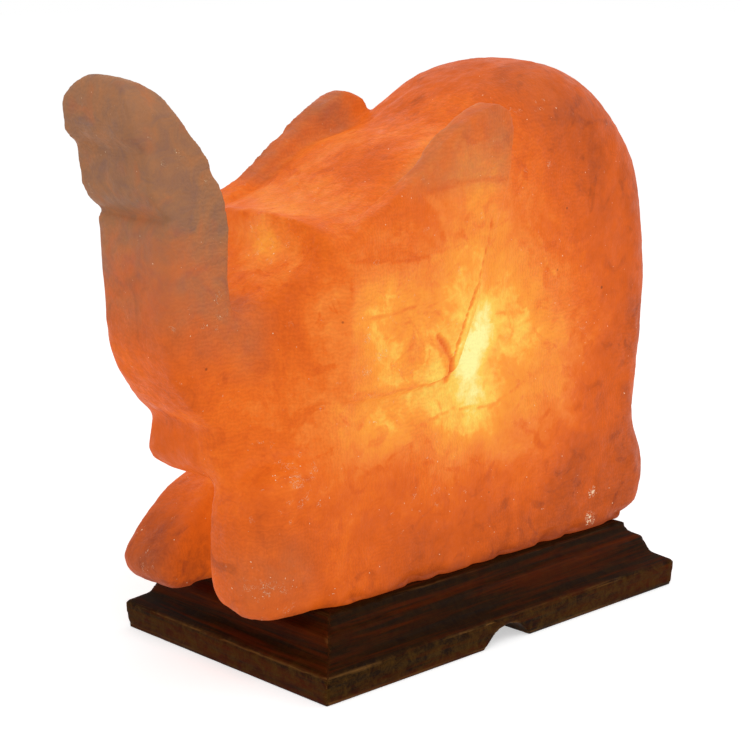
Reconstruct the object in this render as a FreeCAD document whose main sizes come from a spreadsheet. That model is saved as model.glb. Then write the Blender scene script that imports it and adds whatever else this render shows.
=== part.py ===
import FreeCAD
import Part
import Sketcher
import math
import os

# Salt lamp: a block of rock salt carved as an elephant with a raised trunk, screwed to a
# moulded wooden base. A spring-clip bulb holder is pushed up through the base into the salt.
#
# Frame: millimetres, +Z up, origin at the centre of the base's underside, right below the
# bulb. +X runs along the base, the elephant faces -X and the cord notch opens towards -Y.

os.makedirs("parts", exist_ok=True)
doc = FreeCAD.newDocument("SaltLamp")

# ---------------------------------------------------------------------------------------
# Driving dimensions, in millimetres and degrees
# ---------------------------------------------------------------------------------------
SIZES = {
    # wooden base
    "base_length": 212.5,
    "base_width": 127.0,
    "base_height": 29.5,
    "plinth_height": 11.6,
    "plinth_lean": 0.6,
    "ledge_width": 7.6,
    "ledge_rise": 4.1,
    "cove_radius": 3.5,
    "riser_lean": 2.3,
    "riser_height": 7.2,
    "round_radius": 3.0,
    "shoulder_width": 4.5,
    "shoulder_rise": 2.1,
    "top_lean": 1.8,
    "holder_hole_radius": 20.0,
    "recess_radius": 28.0,
    "recess_depth": 10.0,
    "groove_width": 26.8,
    "groove_height": 8.2,
    "groove_offset": -3.3,
    # carved salt: places along X, heights above the base's top, thicknesses across Y
    "chest_place": -85.0,
    "rump_place": 118.0,
    "hump_height": 204.0,
    "salt_thickness": 90.0,
    "unrounded_middle": 26.0,
    "trunk_reach": 76.0,
    "trunk_height": 210.0,
    "trunk_thickness": 44.0,
    "trunk_crown_radius": 18.0,
    "cheek_depth": 27.0,
    "cheek_root": 20.0,
    "cheek_inset": 1.0,
    "cheek_slope": 22.0,
    "foot_reach": 40.0,
    "foot_height": 41.0,
    "foot_thickness": 33.0,
    "near_foot_height": 62.0,
    "near_foot_rounding": 15.0,
    "ear_relief": 3.0,
    "ear_root": 8.0,
    "bore_radius": 21.0,
    "bore_top": 158.0,
    "bore_tip_angle": 118.0,
    # screws, washers and plugs that hold the salt on the base
    "screw_place_x": 58.0,
    "screw_place_y": 24.0,
    "screw_length": 40.0,
    "screw_radius": 2.0,
    "screw_point": 5.0,
    "head_radius": 4.0,
    "head_thickness": 2.8,
    "cross_width": 1.0,
    "cross_length": 4.6,
    "cross_depth": 1.6,
    "washer_radius": 4.8,
    "washer_thickness": 1.0,
    "counterbore_clearance": 0.7,
    "screw_clearance": 0.3,
    "plug_radius": 4.0,
    "plug_length": 25.0,
    "plug_room": 2.0,
    # clip plate, wing spring, nipple, nut and lock washer
    "plate_radius": 25.0,
    "plate_thickness": 0.8,
    "vent_radius": 1.8,
    "vent_place": 16.6,
    "strip_thickness": 0.5,
    "strip_width": 10.0,
    "strip_boss_radius": 8.0,
    "wing_foot": 15.6,
    "wing_tuck": 3.0,
    "wing_height": 24.0,
    "wing_bulge": 14.4,
    "wing_clearance": 0.5,
    "nipple_radius": 5.0,
    "nipple_bore": 3.5,
    "nipple_length": 11.0,
    "nipple_clearance": 0.2,
    "nut_width": 14.0,
    "nut_thickness": 2.6,
    "lock_washer_radius": 7.5,
    "lock_washer_thickness": 0.8,
    # bulb holder
    "cap_radius": 14.0,
    "cap_floor": 3.0,
    "cap_wall": 2.8,
    "cap_height": 16.5,
    "neck_wall": 1.8,
    "neck_height": 6.5,
    "core_thickness": 8.0,
    "core_flange": 3.0,
    "core_clearance": 0.1,
    "sleeve_wall": 1.6,
    "sleeve_mouth_wall": 2.6,
    "sleeve_height": 30.0,
    "sleeve_skirt": 12.0,
    "shell_height": 26.0,
    "shell_thickness": 0.4,
    "shell_room": 0.2,
    "shell_clearance": 0.08,
    "shell_lip": 1.5,
    "contact_width": 4.0,
    "contact_thickness": 0.4,
    "contact_height": 8.0,
    "rivet_radius": 1.2,
    "rivet_head": 1.9,
    "rivet_head_thickness": 0.7,
    "terminal_place": 6.5,
    "terminal_radius": 1.5,
    "terminal_head": 2.8,
    "terminal_head_thickness": 2.0,
    "terminal_length": 5.0,
    # bulb with a small screw cap
    "bulb_cap_radius": 6.9,
    "bulb_cap_length": 19.5,
    "bulb_cap_wall": 0.35,
    "bulb_cap_opening": 4.6,
    "eyelet_radius": 2.3,
    "eyelet_face": 1.6,
    "eyelet_height": 1.2,
    "insulator_height": 3.6,
    "insulator_foot": 2.9,
    "insulator_shoulder": 5.2,
    "insulator_bore": 1.2,
    "bulb_radius": 17.5,
    "bulb_tip_radius": 4.0,
    "bulb_tip_rise": 36.0,
    "bulb_shoulder_angle": 25.0,
    "bulb_neck_radius": 6.2,
    "bulb_neck_entry": 4.0,
    "bulb_neck_length": 8.0,
    "glass_thickness": 0.8,
    "stem_radius": 2.6,
    "stem_height": 22.0,
    "stem_foot_gap": 0.4,
    "lead_width": 0.6,
    "lead_gap": 2.4,
    "lead_height": 20.0,
    "lead_end": 2.0,
    "filament_radius": 0.35,
    "filament_span": 13.0,
}

sheet = doc.addObject("Spreadsheet::Sheet", "Sizes")
for row, (alias, value) in enumerate(SIZES.items(), start=1):
    sheet.set(f"A{row}", alias)
    sheet.set(f"B{row}", str(value))
    sheet.setAlias(f"B{row}", alias)
doc.recompute()


def size(alias):
    """One driving dimension, as the sheet holds it."""
    return float(sheet.get(alias))


def named(text):
    """An expression over the sheet, from text that holds bare aliases in square brackets."""
    return text.replace("[", "Sizes.").replace("]", "")


def value_of(text):
    """The number that such an expression gives now."""
    return float(sheet.evalExpression(named(text)))


# ---------------------------------------------------------------------------------------
# Levels along the bulb axis, as expressions, each from the pieces it stands on
# ---------------------------------------------------------------------------------------
SALT_FLOOR = "[base_height]"
PLATE_TOP = "[recess_depth]"
PLATE_FLOOR = f"({PLATE_TOP} - [plate_thickness])"
STRIP_TOP = f"({PLATE_TOP} + [strip_thickness])"
WASHER_FLOOR = f"({PLATE_FLOOR} - [lock_washer_thickness])"
NUT_FLOOR = f"({WASHER_FLOOR} - [nut_thickness])"
NIPPLE_TOP = f"({NUT_FLOOR} + [nipple_length])"
CAP_TOP = f"({STRIP_TOP} + [cap_height])"
CORE_FLOOR = f"({CAP_TOP} - [core_thickness] + [core_flange])"
CORE_TOP = f"({CAP_TOP} + [core_flange])"
NECK_RADIUS = "([cap_radius] - [cap_wall] + [neck_wall])"
CAP_INSIDE = "([cap_radius] - [cap_wall])"
SHELL_INSIDE = "([bulb_cap_radius] + [shell_clearance])"
SHELL_OUTSIDE = f"({SHELL_INSIDE} + [shell_thickness])"
SLEEVE_INSIDE = f"({SHELL_OUTSIDE} + [shell_room])"
SLEEVE_TOP = f"({CORE_TOP} + [sleeve_height])"
EYELET_FLOOR = f"({CORE_TOP} + [contact_height])"
INSULATOR_FLOOR = f"({EYELET_FLOOR} + [eyelet_height])"
BULB_CAP_FLOOR = f"({INSULATOR_FLOOR} + [insulator_height])"
BULB_CAP_TOP = f"({BULB_CAP_FLOOR} + [bulb_cap_length])"
GLASS_FLOOR = f"({BULB_CAP_TOP} - [bulb_neck_entry])"
NECK_TOP = f"({GLASS_FLOOR} + [bulb_neck_length])"
STEM_TOP = f"({GLASS_FLOOR} + [stem_height])"
LEAD_TOP = f"({STEM_TOP} + [lead_height])"


# ---------------------------------------------------------------------------------------
# Building blocks
# ---------------------------------------------------------------------------------------
def bind(feature, **expressions):
    """Tie properties to the sheet; a double underscore in a name stands for a dot."""
    for name, text in expressions.items():
        feature.setExpression(name.replace("__", "."), named(text))
    return feature


def cylinder(label, radius, floor, top, x="0", y="0"):
    """An upright round bar between two levels."""
    bar = doc.addObject("Part::Cylinder", label)
    bind(bar, Radius=radius, Height=f"({top}) - ({floor})")
    return bind(bar, Placement__Base__x=x, Placement__Base__y=y, Placement__Base__z=floor)


def cone(label, low_radius, high_radius, floor, top, x="0", y="0"):
    """An upright round taper between two levels."""
    taper = doc.addObject("Part::Cone", label)
    bind(taper, Radius1=low_radius, Radius2=high_radius, Height=f"({top}) - ({floor})")
    return bind(taper, Placement__Base__x=x, Placement__Base__y=y, Placement__Base__z=floor)


def block(label, x, y, floor, length, width, height):
    """An upright block, centred on x and y."""
    box = doc.addObject("Part::Box", label)
    bind(box, Length=length, Width=width, Height=height)
    bind(box, Placement__Base__x=f"({x}) - ({length}) / 2")
    return bind(box, Placement__Base__y=f"({y}) - ({width}) / 2", Placement__Base__z=floor)


def fuse(label, *pieces):
    """Several shapes joined to one."""
    joined = doc.addObject("Part::MultiFuse", label)
    joined.Shapes = list(pieces)
    return joined


def cut(label, base, *tools):
    """A shape with others taken away."""
    tool = tools[0] if len(tools) == 1 else fuse(f"{label}_tools", *tools)
    result = doc.addObject("Part::Cut", label)
    result.Base = base
    result.Tool = tool
    return result


def common(label, first, second):
    """What two shapes share."""
    result = doc.addObject("Part::Common", label)
    result.Base = first
    result.Tool = second
    return result


def group(label, pieces):
    """Separate equal solids as one sub-part."""
    result = doc.addObject("Part::Compound", label)
    result.Links = list(pieces)
    return result


def plane_of(body, role):
    """One of a body's own origin planes."""
    return next(plane for plane in body.Origin.OriginFeatures if plane.Role == role)


def polygon_sketch(body, role, vertices):
    """A closed outline on an origin plane, each corner tied to a pair of expressions."""
    sketch = body.newObject("Sketcher::SketchObject", f"{body.Name}_outline")
    sketch.AttachmentSupport = [(plane_of(body, role), "")]
    sketch.MapMode = "FlatFace"
    corners = [FreeCAD.Vector(value_of(u), value_of(v), 0) for u, v in vertices]
    count = len(corners)
    for index, corner in enumerate(corners):
        sketch.addGeometry(Part.LineSegment(corner, corners[(index + 1) % count]), False)
    for index in range(count):
        follower = (index + 1) % count
        sketch.addConstraint(Sketcher.Constraint("Coincident", index, 2, follower, 1))
    for index, texts in enumerate(vertices):
        for kind, text in zip(("DistanceX", "DistanceY"), texts):
            if text == "0":
                axis = -2 if kind == "DistanceX" else -1
                sketch.addConstraint(Sketcher.Constraint("PointOnObject", index, 1, axis))
                continue
            rule = Sketcher.Constraint(kind, -1, 1, index, 1, value_of(text))
            number = sketch.addConstraint(rule)
            sketch.setExpression(f"Constraints[{number}]", named(text))
    return sketch


def revolved(label, profile):
    """A round sub-part: an outline of (radius, height) corners turned about the bulb axis."""
    body = doc.addObject("PartDesign::Body", label)
    sketch = polygon_sketch(body, "XZ_Plane", profile)
    turn = body.newObject("PartDesign::Revolution", f"{label}_turn")
    turn.Profile = sketch
    turn.ReferenceAxis = (sketch, ["V_Axis"])
    turn.Angle = 360
    return body


def padded(body, sketch, length):
    """Pad a sketch in its body, half the length to each side."""
    pad = body.newObject("PartDesign::Pad", f"{body.Name}_pad")
    pad.Profile = sketch
    pad.SideType = "Symmetric"
    return bind(pad, Length=length)


def rounded(body, feature, radius, level, name):
    """Fillet the edges of a body's feature that lie flat at a level."""
    doc.recompute()
    height = value_of(level)
    names = [f"Edge{number}" for number, edge in enumerate(feature.Shape.Edges, start=1)
             if all(abs(vertex.Z - height) < 1e-6 for vertex in edge.Vertexes)]
    fillet = body.newObject("PartDesign::Fillet", f"{body.Name}_{name}")
    fillet.Base = (feature, names)
    return bind(fillet, Radius=radius)


# ---------------------------------------------------------------------------------------
# Wooden base: a board with an ogee moulding all round, bored and grooved from below
# ---------------------------------------------------------------------------------------
COVE_LEVEL = "([plinth_height] + [ledge_rise])"
ROUND_LEVEL = f"({COVE_LEVEL} + [riser_height])"


def moulding_section(width):
    """The moulding's corners on both sides of a section of one width."""
    riser_inset = "([ledge_width] + [riser_lean])"
    shoulder_inset = f"({riser_inset} + [shoulder_width])"
    side = [
        ("[plinth_lean]", "0"), ("0", "[plinth_height]"), ("[ledge_width]", COVE_LEVEL),
        (riser_inset, ROUND_LEVEL), (shoulder_inset, f"{ROUND_LEVEL} + [shoulder_rise]"),
        (f"({shoulder_inset} + [top_lean])", "[base_height]"),
    ]
    right = [(f"{width} / 2 - {inset}", level) for inset, level in side]
    left = [(f"-1 * ({width} / 2 - {inset})", level) for inset, level in reversed(side)]
    return right + left


def moulding(label, role, width, length):
    """A straight length of the moulding, its cove and its round filleted along it."""
    body = doc.addObject("PartDesign::Body", label)
    section = polygon_sketch(body, role, moulding_section(width))
    blank = padded(body, section, length)
    cove = rounded(body, blank, "[cove_radius]", COVE_LEVEL, "cove")
    rounded(body, cove, "[round_radius]", ROUND_LEVEL, "round")
    return body


def moulded_board():
    """The base's outer form: two crossed lengths of moulding share the mitred board."""
    along = moulding("moulding_along", "YZ_Plane", "[base_width]", "[base_length]")
    across = moulding("moulding_across", "XZ_Plane", "[base_length]", "[base_width]")
    return common("moulded_board", along, across)


GROOVE_RADIUS = "(([groove_width] / 2) ^ 2 + [groove_height] ^ 2) / (2 * [groove_height])"
SCREW_PLACES = [(f"{sx} * [screw_place_x]", f"{sy} * [screw_place_y]")
                for sx in (-1, 1) for sy in (-1, 1)]
OVERCUT = "1"


def cord_groove():
    """The arched groove from the holder's recess out through the near long side."""
    groove = doc.addObject("Part::Cylinder", "cord_groove")
    groove.Placement.Rotation = FreeCAD.Rotation(FreeCAD.Vector(1, 0, 0), 90)
    bind(groove, Radius=GROOVE_RADIUS, Height=f"[base_width] / 2 + {OVERCUT}")
    bind(groove, Placement__Base__x="[groove_offset]")
    return bind(groove, Placement__Base__z=f"[groove_height] - {GROOVE_RADIUS}")


def wooden_base():
    """The moulded board with its holder hole, recess, groove and screw holes."""
    tools = [
        cylinder("holder_hole", "[holder_hole_radius]", "0", f"[base_height] + {OVERCUT}"),
        cylinder("holder_recess", "[recess_radius]", f"-{OVERCUT}", "[recess_depth]"),
        cord_groove(),
    ]
    for number, (x, y) in enumerate(SCREW_PLACES, start=1):
        head_room = "[washer_radius] + [counterbore_clearance]"
        tools.append(cylinder(f"counterbore_{number}", head_room, f"-{OVERCUT}",
                              "[recess_depth]", x, y))
        tools.append(cylinder(f"screw_hole_{number}", "[screw_radius] + [screw_clearance]",
                              "0", f"[base_height] + {OVERCUT}", x, y))
    return cut("wooden_base", moulded_board(), *tools)


# ---------------------------------------------------------------------------------------
# Carved salt. Outlines are drawn by hand as shares of a form's own length and height:
# first number backwards from the form's front, second number upwards from the base's top.
# Each stretch is a smooth curve, and stretches meet at the carver's corners.
# ---------------------------------------------------------------------------------------
CENTRE_LINE = [
    [(0.0, 0.0), (0.0, 0.36)],
    [(0.0, 0.36), (0.01, 0.56), (0.0, 0.752)],
    [(0.0, 0.752), (0.118, 0.767), (0.207, 0.811), (0.30, 0.86), (0.38, 0.88), (0.43, 0.90),
     (0.488, 0.938), (0.576, 0.984), (0.655, 1.002), (0.724, 1.0), (0.80, 0.972),
     (0.885, 0.90), (0.94, 0.835), (0.975, 0.757), (0.998, 0.665), (1.008, 0.55), (1.003, 0.42),
     (0.983, 0.297), (0.985, 0.21), (1.015, 0.12), (1.005, 0.05), (0.955, 0.0)],
    [(0.955, 0.0), (0.0, 0.0)],
]
FLANK_LINE = [
    [(0.0, 0.0), (0.0, 0.36)],
    [(0.0, 0.36), (0.01, 0.54), (0.0, 0.70)],
    [(0.0, 0.70), (0.118, 0.72), (0.207, 0.755), (0.30, 0.79), (0.37, 0.80), (0.42, 0.803),
     (0.475, 0.822), (0.55, 0.858), (0.62, 0.88), (0.68, 0.882), (0.735, 0.862),
     (0.795, 0.822), (0.833, 0.765), (0.857, 0.69), (0.872, 0.61), (0.878, 0.52), (0.876, 0.42),
     (0.86, 0.297), (0.862, 0.21), (0.892, 0.12), (0.89, 0.05), (0.86, 0.0)],
    [(0.86, 0.0), (0.0, 0.0)],
]
TRUNK = [
    [(1.0, 0.29), (0.68, 0.238)],
    [(0.68, 0.238), (0.52, 0.266), (0.468, 0.29)],
    [(0.468, 0.29), (0.476, 0.32), (0.495, 0.36)],
    [(0.495, 0.36), (0.37, 0.39), (0.272, 0.445), (0.203, 0.51), (0.19, 0.57), (0.19, 0.65),
     (0.20, 0.74)],
    [(0.20, 0.74), (0.235, 0.754)],
    [(0.235, 0.754), (0.172, 0.768), (0.125, 0.79), (0.095, 0.836), (0.08, 0.879)],
    [(0.08, 0.879), (0.028, 0.893), (0.0, 0.93), (0.004, 0.974), (0.045, 1.003), (0.14, 0.993),
     (0.232, 0.966), (0.34, 0.915), (0.44, 0.872), (0.50, 0.84), (0.58, 0.768),
     (0.625, 0.655), (0.652, 0.55)],
    [(0.652, 0.55), (1.2, 0.55)],
    [(1.2, 0.55), (1.2, 0.29)],
    [(1.2, 0.29), (1.0, 0.29)],
]
FOOT = [
    [(0.0, 0.31), (0.055, 0.10), (0.14, 0.0)],
    [(0.14, 0.0), (1.6, 0.0)],
    [(1.6, 0.0), (1.6, 1.0)],
    [(1.6, 1.0), (0.92, 1.02)],
    [(0.92, 1.02), (0.61, 0.89), (0.20, 0.56), (0.0, 0.31)],
]
NEAR_FOOT = [
    [(0.0, 0.19), (0.035, 0.06), (0.12, 0.0)],
    [(0.12, 0.0), (1.6, 0.0)],
    [(1.6, 0.0), (1.6, 1.0)],
    [(1.6, 1.0), (0.62, 1.0)],
    [(0.62, 1.0), (0.30, 0.93), (0.08, 0.80), (0.0, 0.66)],
    [(0.0, 0.66), (0.0, 0.19)],
]
EAR = [
    [(0.0197, 0.409), (0.019, 0.517), (0.0246, 0.64), (0.054, 0.718), (0.118, 0.767)],
    [(0.118, 0.767), (0.207, 0.821), (0.32, 0.90), (0.394, 0.937), (0.438, 0.944),
     (0.470, 0.922), (0.478, 0.86), (0.466, 0.787), (0.429, 0.689), (0.389, 0.566),
     (0.31, 0.419)],
    [(0.31, 0.419), (0.172, 0.404), (0.0197, 0.409)],
]


SECTION_ANGLES = (-90, -78, -65, -50, -33, -15, 15, 33, 50, 65, 78, 90)
CHEEK_SPAN = (0.29, 0.55)


def outline_face(stretches, front, length, height):
    """A flat face in the X-Z plane, from an outline's shares of a length and a height."""
    floor = size("base_height")
    edges = []
    for stretch in stretches:
        points = [FreeCAD.Vector(front + u * length, 0, floor + v * height) for u, v in stretch]
        if len(points) == 2:
            edges.append(Part.LineSegment(*points).toShape())
        else:
            curve = Part.BSplineCurve()
            curve.interpolate(points)
            edges.append(curve.toShape())
    return Part.Face(Part.Wire(edges))


def slab(face, near, far):
    """An outline's face as a slab between two places across Y."""
    face.translate(FreeCAD.Vector(0, near, 0))
    return face.extrude(FreeCAD.Vector(0, far - near, 0))


def upright_block(corners, low, high):
    """An upright block over a plan of (x, y) corners."""
    points = [FreeCAD.Vector(x, y, low) for x, y in corners]
    face = Part.Face(Part.makePolygon(points + points[:1]))
    return face.extrude(FreeCAD.Vector(0, 0, high - low))


def crowned(form, radius):
    """A slab with the two long edges of its top rounded across Y."""
    bound = form.BoundBox
    stock = Part.makeBox(bound.XLength, bound.YLength, bound.ZLength,
                         FreeCAD.Vector(bound.XMin, bound.YMin, bound.ZMin))
    edges = [edge for edge in stock.Edges
             if all(abs(vertex.Z - bound.ZMax) < 1e-6 for vertex in edge.Vertexes)
             and abs(edge.Vertexes[0].Y - edge.Vertexes[-1].Y) < 1e-6]
    return form.common(stock.makeFillet(radius, edges))


def torso():
    """The body, lofted across Y: its outline shrinks towards each flank like an ellipse."""
    front = size("chest_place")
    length = size("rump_place") - front
    half = size("salt_thickness") / 2
    middle = size("unrounded_middle") / 2
    wires = []
    for turn in SECTION_ANGLES:
        place = math.copysign(middle, turn) + (half - middle) * math.sin(math.radians(turn))
        share = 1 - math.cos(math.radians(turn))
        outline = [[(u + share * (side_u - u), v + share * (side_v - v))
                    for (u, v), (side_u, side_v) in zip(stretch, side_stretch)]
                   for stretch, side_stretch in zip(CENTRE_LINE, FLANK_LINE)]
        face = outline_face(outline, front, length, size("hump_height"))
        face.translate(FreeCAD.Vector(0, place, 0))
        wires.append(face.OuterWire)
    return Part.makeLoft(wires, True, False)


def trunk():
    """The raised trunk and snout, a slab narrower than the body and rounded at its top."""
    front = size("chest_place") - size("trunk_reach")
    half = size("trunk_thickness") / 2
    face = outline_face(TRUNK, front, size("trunk_reach"), size("trunk_height"))
    return crowned(slab(face, -half, half), size("trunk_crown_radius"))


def cheeks():
    """The wedge on each side of the snout, which widens it and slopes up to the forehead."""
    back = size("chest_place")
    front = back - size("cheek_depth")
    root = back + size("cheek_root")
    narrow = size("trunk_thickness") / 2
    wide = size("salt_thickness") / 2 - size("cheek_inset")
    low = size("base_height") + CHEEK_SPAN[0] * size("trunk_height")
    high = size("base_height") + CHEEK_SPAN[1] * size("trunk_height")
    top = high + size("cheek_slope")
    plan = [(front, -narrow), (back, -wide), (root, -narrow),
            (root, narrow), (back, wide), (front, narrow)]
    side = [FreeCAD.Vector(x, 0, z) for x, z in
            ((front, low), (root, low), (root, top), (back, top), (front, high))]
    profile = Part.Face(Part.makePolygon(side + side[:1]))
    return upright_block(plan, low, top).common(slab(profile, -wide, wide))


def far_foot():
    """The far front foot, which reaches forward past the base and slopes to its toe."""
    half = size("salt_thickness") / 2
    face = outline_face(FOOT, size("chest_place") - size("foot_reach"), size("foot_reach"),
                        size("foot_height"))
    return slab(face, half - size("foot_thickness"), half)


def near_foot():
    """The near front foot, blunt and higher, rounded at its inner sole and outer toe."""
    half = size("salt_thickness") / 2
    face = outline_face(NEAR_FOOT, size("chest_place") - size("foot_reach"),
                        size("foot_reach"), size("near_foot_height"))
    form = slab(face, -half, size("foot_thickness") - half)
    bound = form.BoundBox
    stock = Part.makeBox(bound.XLength, bound.YLength, bound.ZLength,
                         FreeCAD.Vector(bound.XMin, bound.YMin, bound.ZMin))
    edges = [edge for edge in stock.Edges
             if all(abs(vertex.Y - bound.YMax) + abs(vertex.Z - bound.ZMin) < 1e-6
                    for vertex in edge.Vertexes)
             or all(abs(vertex.X - bound.XMin) + abs(vertex.Y - bound.YMin) < 1e-6
                    for vertex in edge.Vertexes)]
    return form.common(stock.makeFillet(size("near_foot_rounding"), edges))


def ear(side):
    """One ear, a low relief on the body's flank."""
    front = size("chest_place")
    length = size("rump_place") - front
    half = size("salt_thickness") / 2
    form = slab(outline_face(EAR, front, length, size("hump_height")),
                half - size("ear_root"), half + size("ear_relief"))
    return form if side > 0 else form.mirror(FreeCAD.Vector(), FreeCAD.Vector(0, 1, 0))


def bore():
    """The blind bore for the bulb, with the drill's cone at its end."""
    radius = size("bore_radius")
    floor = size("base_height")
    tip = radius / math.tan(math.radians(size("bore_tip_angle") / 2))
    shaft = Part.makeCylinder(radius, size("bore_top") - floor, FreeCAD.Vector(0, 0, floor))
    end = Part.makeCone(radius, 0, tip, FreeCAD.Vector(0, 0, size("bore_top")))
    return shaft.fuse(end)


def salt_elephant():
    """The whole carving, bored for the bulb and drilled for the plugs."""
    carving = torso()
    for form in (trunk(), cheeks(), far_foot(), near_foot(), ear(1), ear(-1)):
        carving = carving.fuse(form)
    carving = carving.cut(bore())
    for x, y in SCREW_PLACES:
        hole = Part.makeCylinder(size("plug_radius"), size("plug_length") + size("plug_room"),
                                 FreeCAD.Vector(value_of(x), value_of(y), size("base_height")))
        carving = carving.cut(hole)
    feature = doc.addObject("Part::Feature", "salt_elephant")
    feature.Shape = carving.removeSplitter()
    return feature


# ---------------------------------------------------------------------------------------
# Fasteners between the base and the salt
# ---------------------------------------------------------------------------------------
HEAD_TOP = "([recess_depth] - [washer_thickness])"
HEAD_FLOOR = f"({HEAD_TOP} - [head_thickness])"
SCREW_TIP = f"({HEAD_TOP} + [screw_length])"


def base_screw(number, x, y):
    """One pan-head screw, point up, with a cross recess."""
    shank_top = f"{SCREW_TIP} - [screw_point]"
    solid = fuse(
        f"screw_{number}_blank",
        cylinder(f"screw_{number}_head", "[head_radius]", HEAD_FLOOR, HEAD_TOP, x, y),
        cylinder(f"screw_{number}_shank", "[screw_radius]", HEAD_TOP, shank_top, x, y),
        cone(f"screw_{number}_point", "[screw_radius]", "[screw_radius] / 10", shank_top,
             SCREW_TIP, x, y),
    )
    slots = [block(f"screw_{number}_slot_{turn}", x, y, HEAD_FLOOR, *sides, "[cross_depth]")
             for turn, sides in enumerate((("[cross_length]", "[cross_width]"),
                                           ("[cross_width]", "[cross_length]")))]
    return cut(f"screw_{number}", solid, *slots)


def ring(label, outer, inner, floor, top, x="0", y="0"):
    """A round disc or tube with a hole."""
    return cut(label, cylinder(f"{label}_disc", outer, floor, top, x, y),
               cylinder(f"{label}_hole", inner, f"{floor} - {OVERCUT}", f"{top} + {OVERCUT}", x, y))


def fasteners():
    """The screws, their washers and the nylon plugs in the salt, one group of each."""
    places = list(enumerate(SCREW_PLACES, start=1))
    group("base_screws", [base_screw(number, x, y) for number, (x, y) in places])
    group("base_washers", [
        ring(f"washer_{number}", "[washer_radius]", "[screw_radius] + [screw_clearance]",
             HEAD_TOP, "[recess_depth]", x, y) for number, (x, y) in places])
    group("salt_plugs", [
        ring(f"plug_{number}", "[plug_radius]", "[screw_radius]", SALT_FLOOR,
             "[base_height] + [plug_length]", x, y) for number, (x, y) in places])


# ---------------------------------------------------------------------------------------
# Spring clip: what holds the bulb holder in the base's hole
# ---------------------------------------------------------------------------------------
VENTS = 6


def clip_plate():
    """The round plate that stops against the recess, with its vent holes."""
    tools = [cylinder("plate_bore", "[nipple_radius] + [nipple_clearance]",
                      f"{PLATE_FLOOR} - {OVERCUT}", f"{PLATE_TOP} + {OVERCUT}")]
    for number in range(VENTS):
        turn = f"{(number + 0.5) * 360 / VENTS} * 1 deg"
        tools.append(cylinder(f"vent_{number}", "[vent_radius]", f"{PLATE_FLOOR} - {OVERCUT}",
                              f"{PLATE_TOP} + {OVERCUT}", f"[vent_place] * cos({turn})",
                              f"[vent_place] * sin({turn})"))
    disc = cylinder("plate_disc", "[plate_radius]", PLATE_FLOOR, PLATE_TOP)
    return cut("clip_plate", disc, *tools)


def wing_spring():
    """One bent strip under the holder, whose two wings press on the hole's wall."""
    reach = "sqrt(([holder_hole_radius] - [wing_clearance]) ^ 2 - ([strip_width] / 2) ^ 2)"
    bulge = f"({PLATE_TOP} + [wing_bulge])"
    tip = f"({PLATE_TOP} + [wing_height])"
    inner = "([wing_foot] - [strip_thickness])"
    tuck = f"({reach} - [wing_tuck])"
    outside = [("[wing_foot]", PLATE_TOP), (reach, bulge), (tuck, tip)]
    inside = [(f"({tuck} - [strip_thickness])", tip), (f"({reach} - [strip_thickness])", bulge),
              (inner, STRIP_TOP)]
    right = outside + inside
    left = [(f"-1 * {x}", z) for x, z in reversed(right)]
    body = doc.addObject("PartDesign::Body", "bent_strip")
    strip = polygon_sketch(body, "XZ_Plane", right + left)
    padded(body, strip, "[strip_width]")
    boss = cylinder("strip_boss", "[strip_boss_radius]", PLATE_TOP, STRIP_TOP)
    hole = cylinder("strip_bore", "[nipple_radius] + [nipple_clearance]",
                    f"{PLATE_TOP} - {OVERCUT}", f"{STRIP_TOP} + {OVERCUT}")
    return cut("wing_spring", fuse("strip_with_boss", body, boss), hole)


def nipple_parts():
    """The hollow nipple, which is the cord's inlet, its nut and its lock washer."""
    ring("hollow_nipple", "[nipple_radius]", "[nipple_bore]", NUT_FLOOR, NIPPLE_TOP)
    ring("lock_washer", "[lock_washer_radius]", "[nipple_radius] + [nipple_clearance]",
         WASHER_FLOOR, PLATE_FLOOR)
    hexagon = doc.addObject("Part::Prism", "nut_blank")
    hexagon.Polygon = 6
    bind(hexagon, Circumradius="[nut_width] / sqrt(3)", Height="[nut_thickness]")
    bind(hexagon, Placement__Base__z=NUT_FLOOR)
    cut("nipple_nut", hexagon, cylinder("nut_bore", "[nipple_radius]",
                                        f"{NUT_FLOOR} - {OVERCUT}", f"{WASHER_FLOOR} + {OVERCUT}"))


# ---------------------------------------------------------------------------------------
# Bulb holder, upright on the clip
# ---------------------------------------------------------------------------------------
def holder_cap():
    """The cup on the nipple, with a threaded neck for the sleeve."""
    neck_floor = f"{CAP_TOP} - [neck_height]"
    return revolved("holder_cap", [
        ("[nipple_radius]", STRIP_TOP), ("[cap_radius]", STRIP_TOP),
        ("[cap_radius]", neck_floor), (NECK_RADIUS, neck_floor), (NECK_RADIUS, CAP_TOP),
        (CAP_INSIDE, CAP_TOP), (CAP_INSIDE, f"{STRIP_TOP} + [cap_floor]"),
        ("[nipple_radius]", f"{STRIP_TOP} + [cap_floor]"),
    ])


TERMINALS = (("left", "-1 * [terminal_place]"), ("right", "[terminal_place]"))


def holder_core():
    """The insulator that carries the contacts, its flange clamped between cap and sleeve."""
    inside = f"{CAP_INSIDE} - [core_clearance]"
    body = revolved("core_blank", [
        ("0", CORE_FLOOR), (inside, CORE_FLOOR), (inside, CAP_TOP),
        (f"{NECK_RADIUS} - [core_clearance]", CAP_TOP),
        (f"{NECK_RADIUS} - [core_clearance]", CORE_TOP), ("0", CORE_TOP),
    ])
    tools = [cylinder("rivet_hole", "[rivet_radius]", f"{CORE_FLOOR} - {OVERCUT}",
                      f"{CORE_TOP} + {OVERCUT}")]
    for side, x in TERMINALS:
        tools.append(cylinder(f"terminal_hole_{side}", "[terminal_radius]",
                              f"{CORE_FLOOR} - {OVERCUT}", f"{CORE_FLOOR} + [terminal_length]", x))
    return cut("holder_core", body, *tools)


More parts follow.
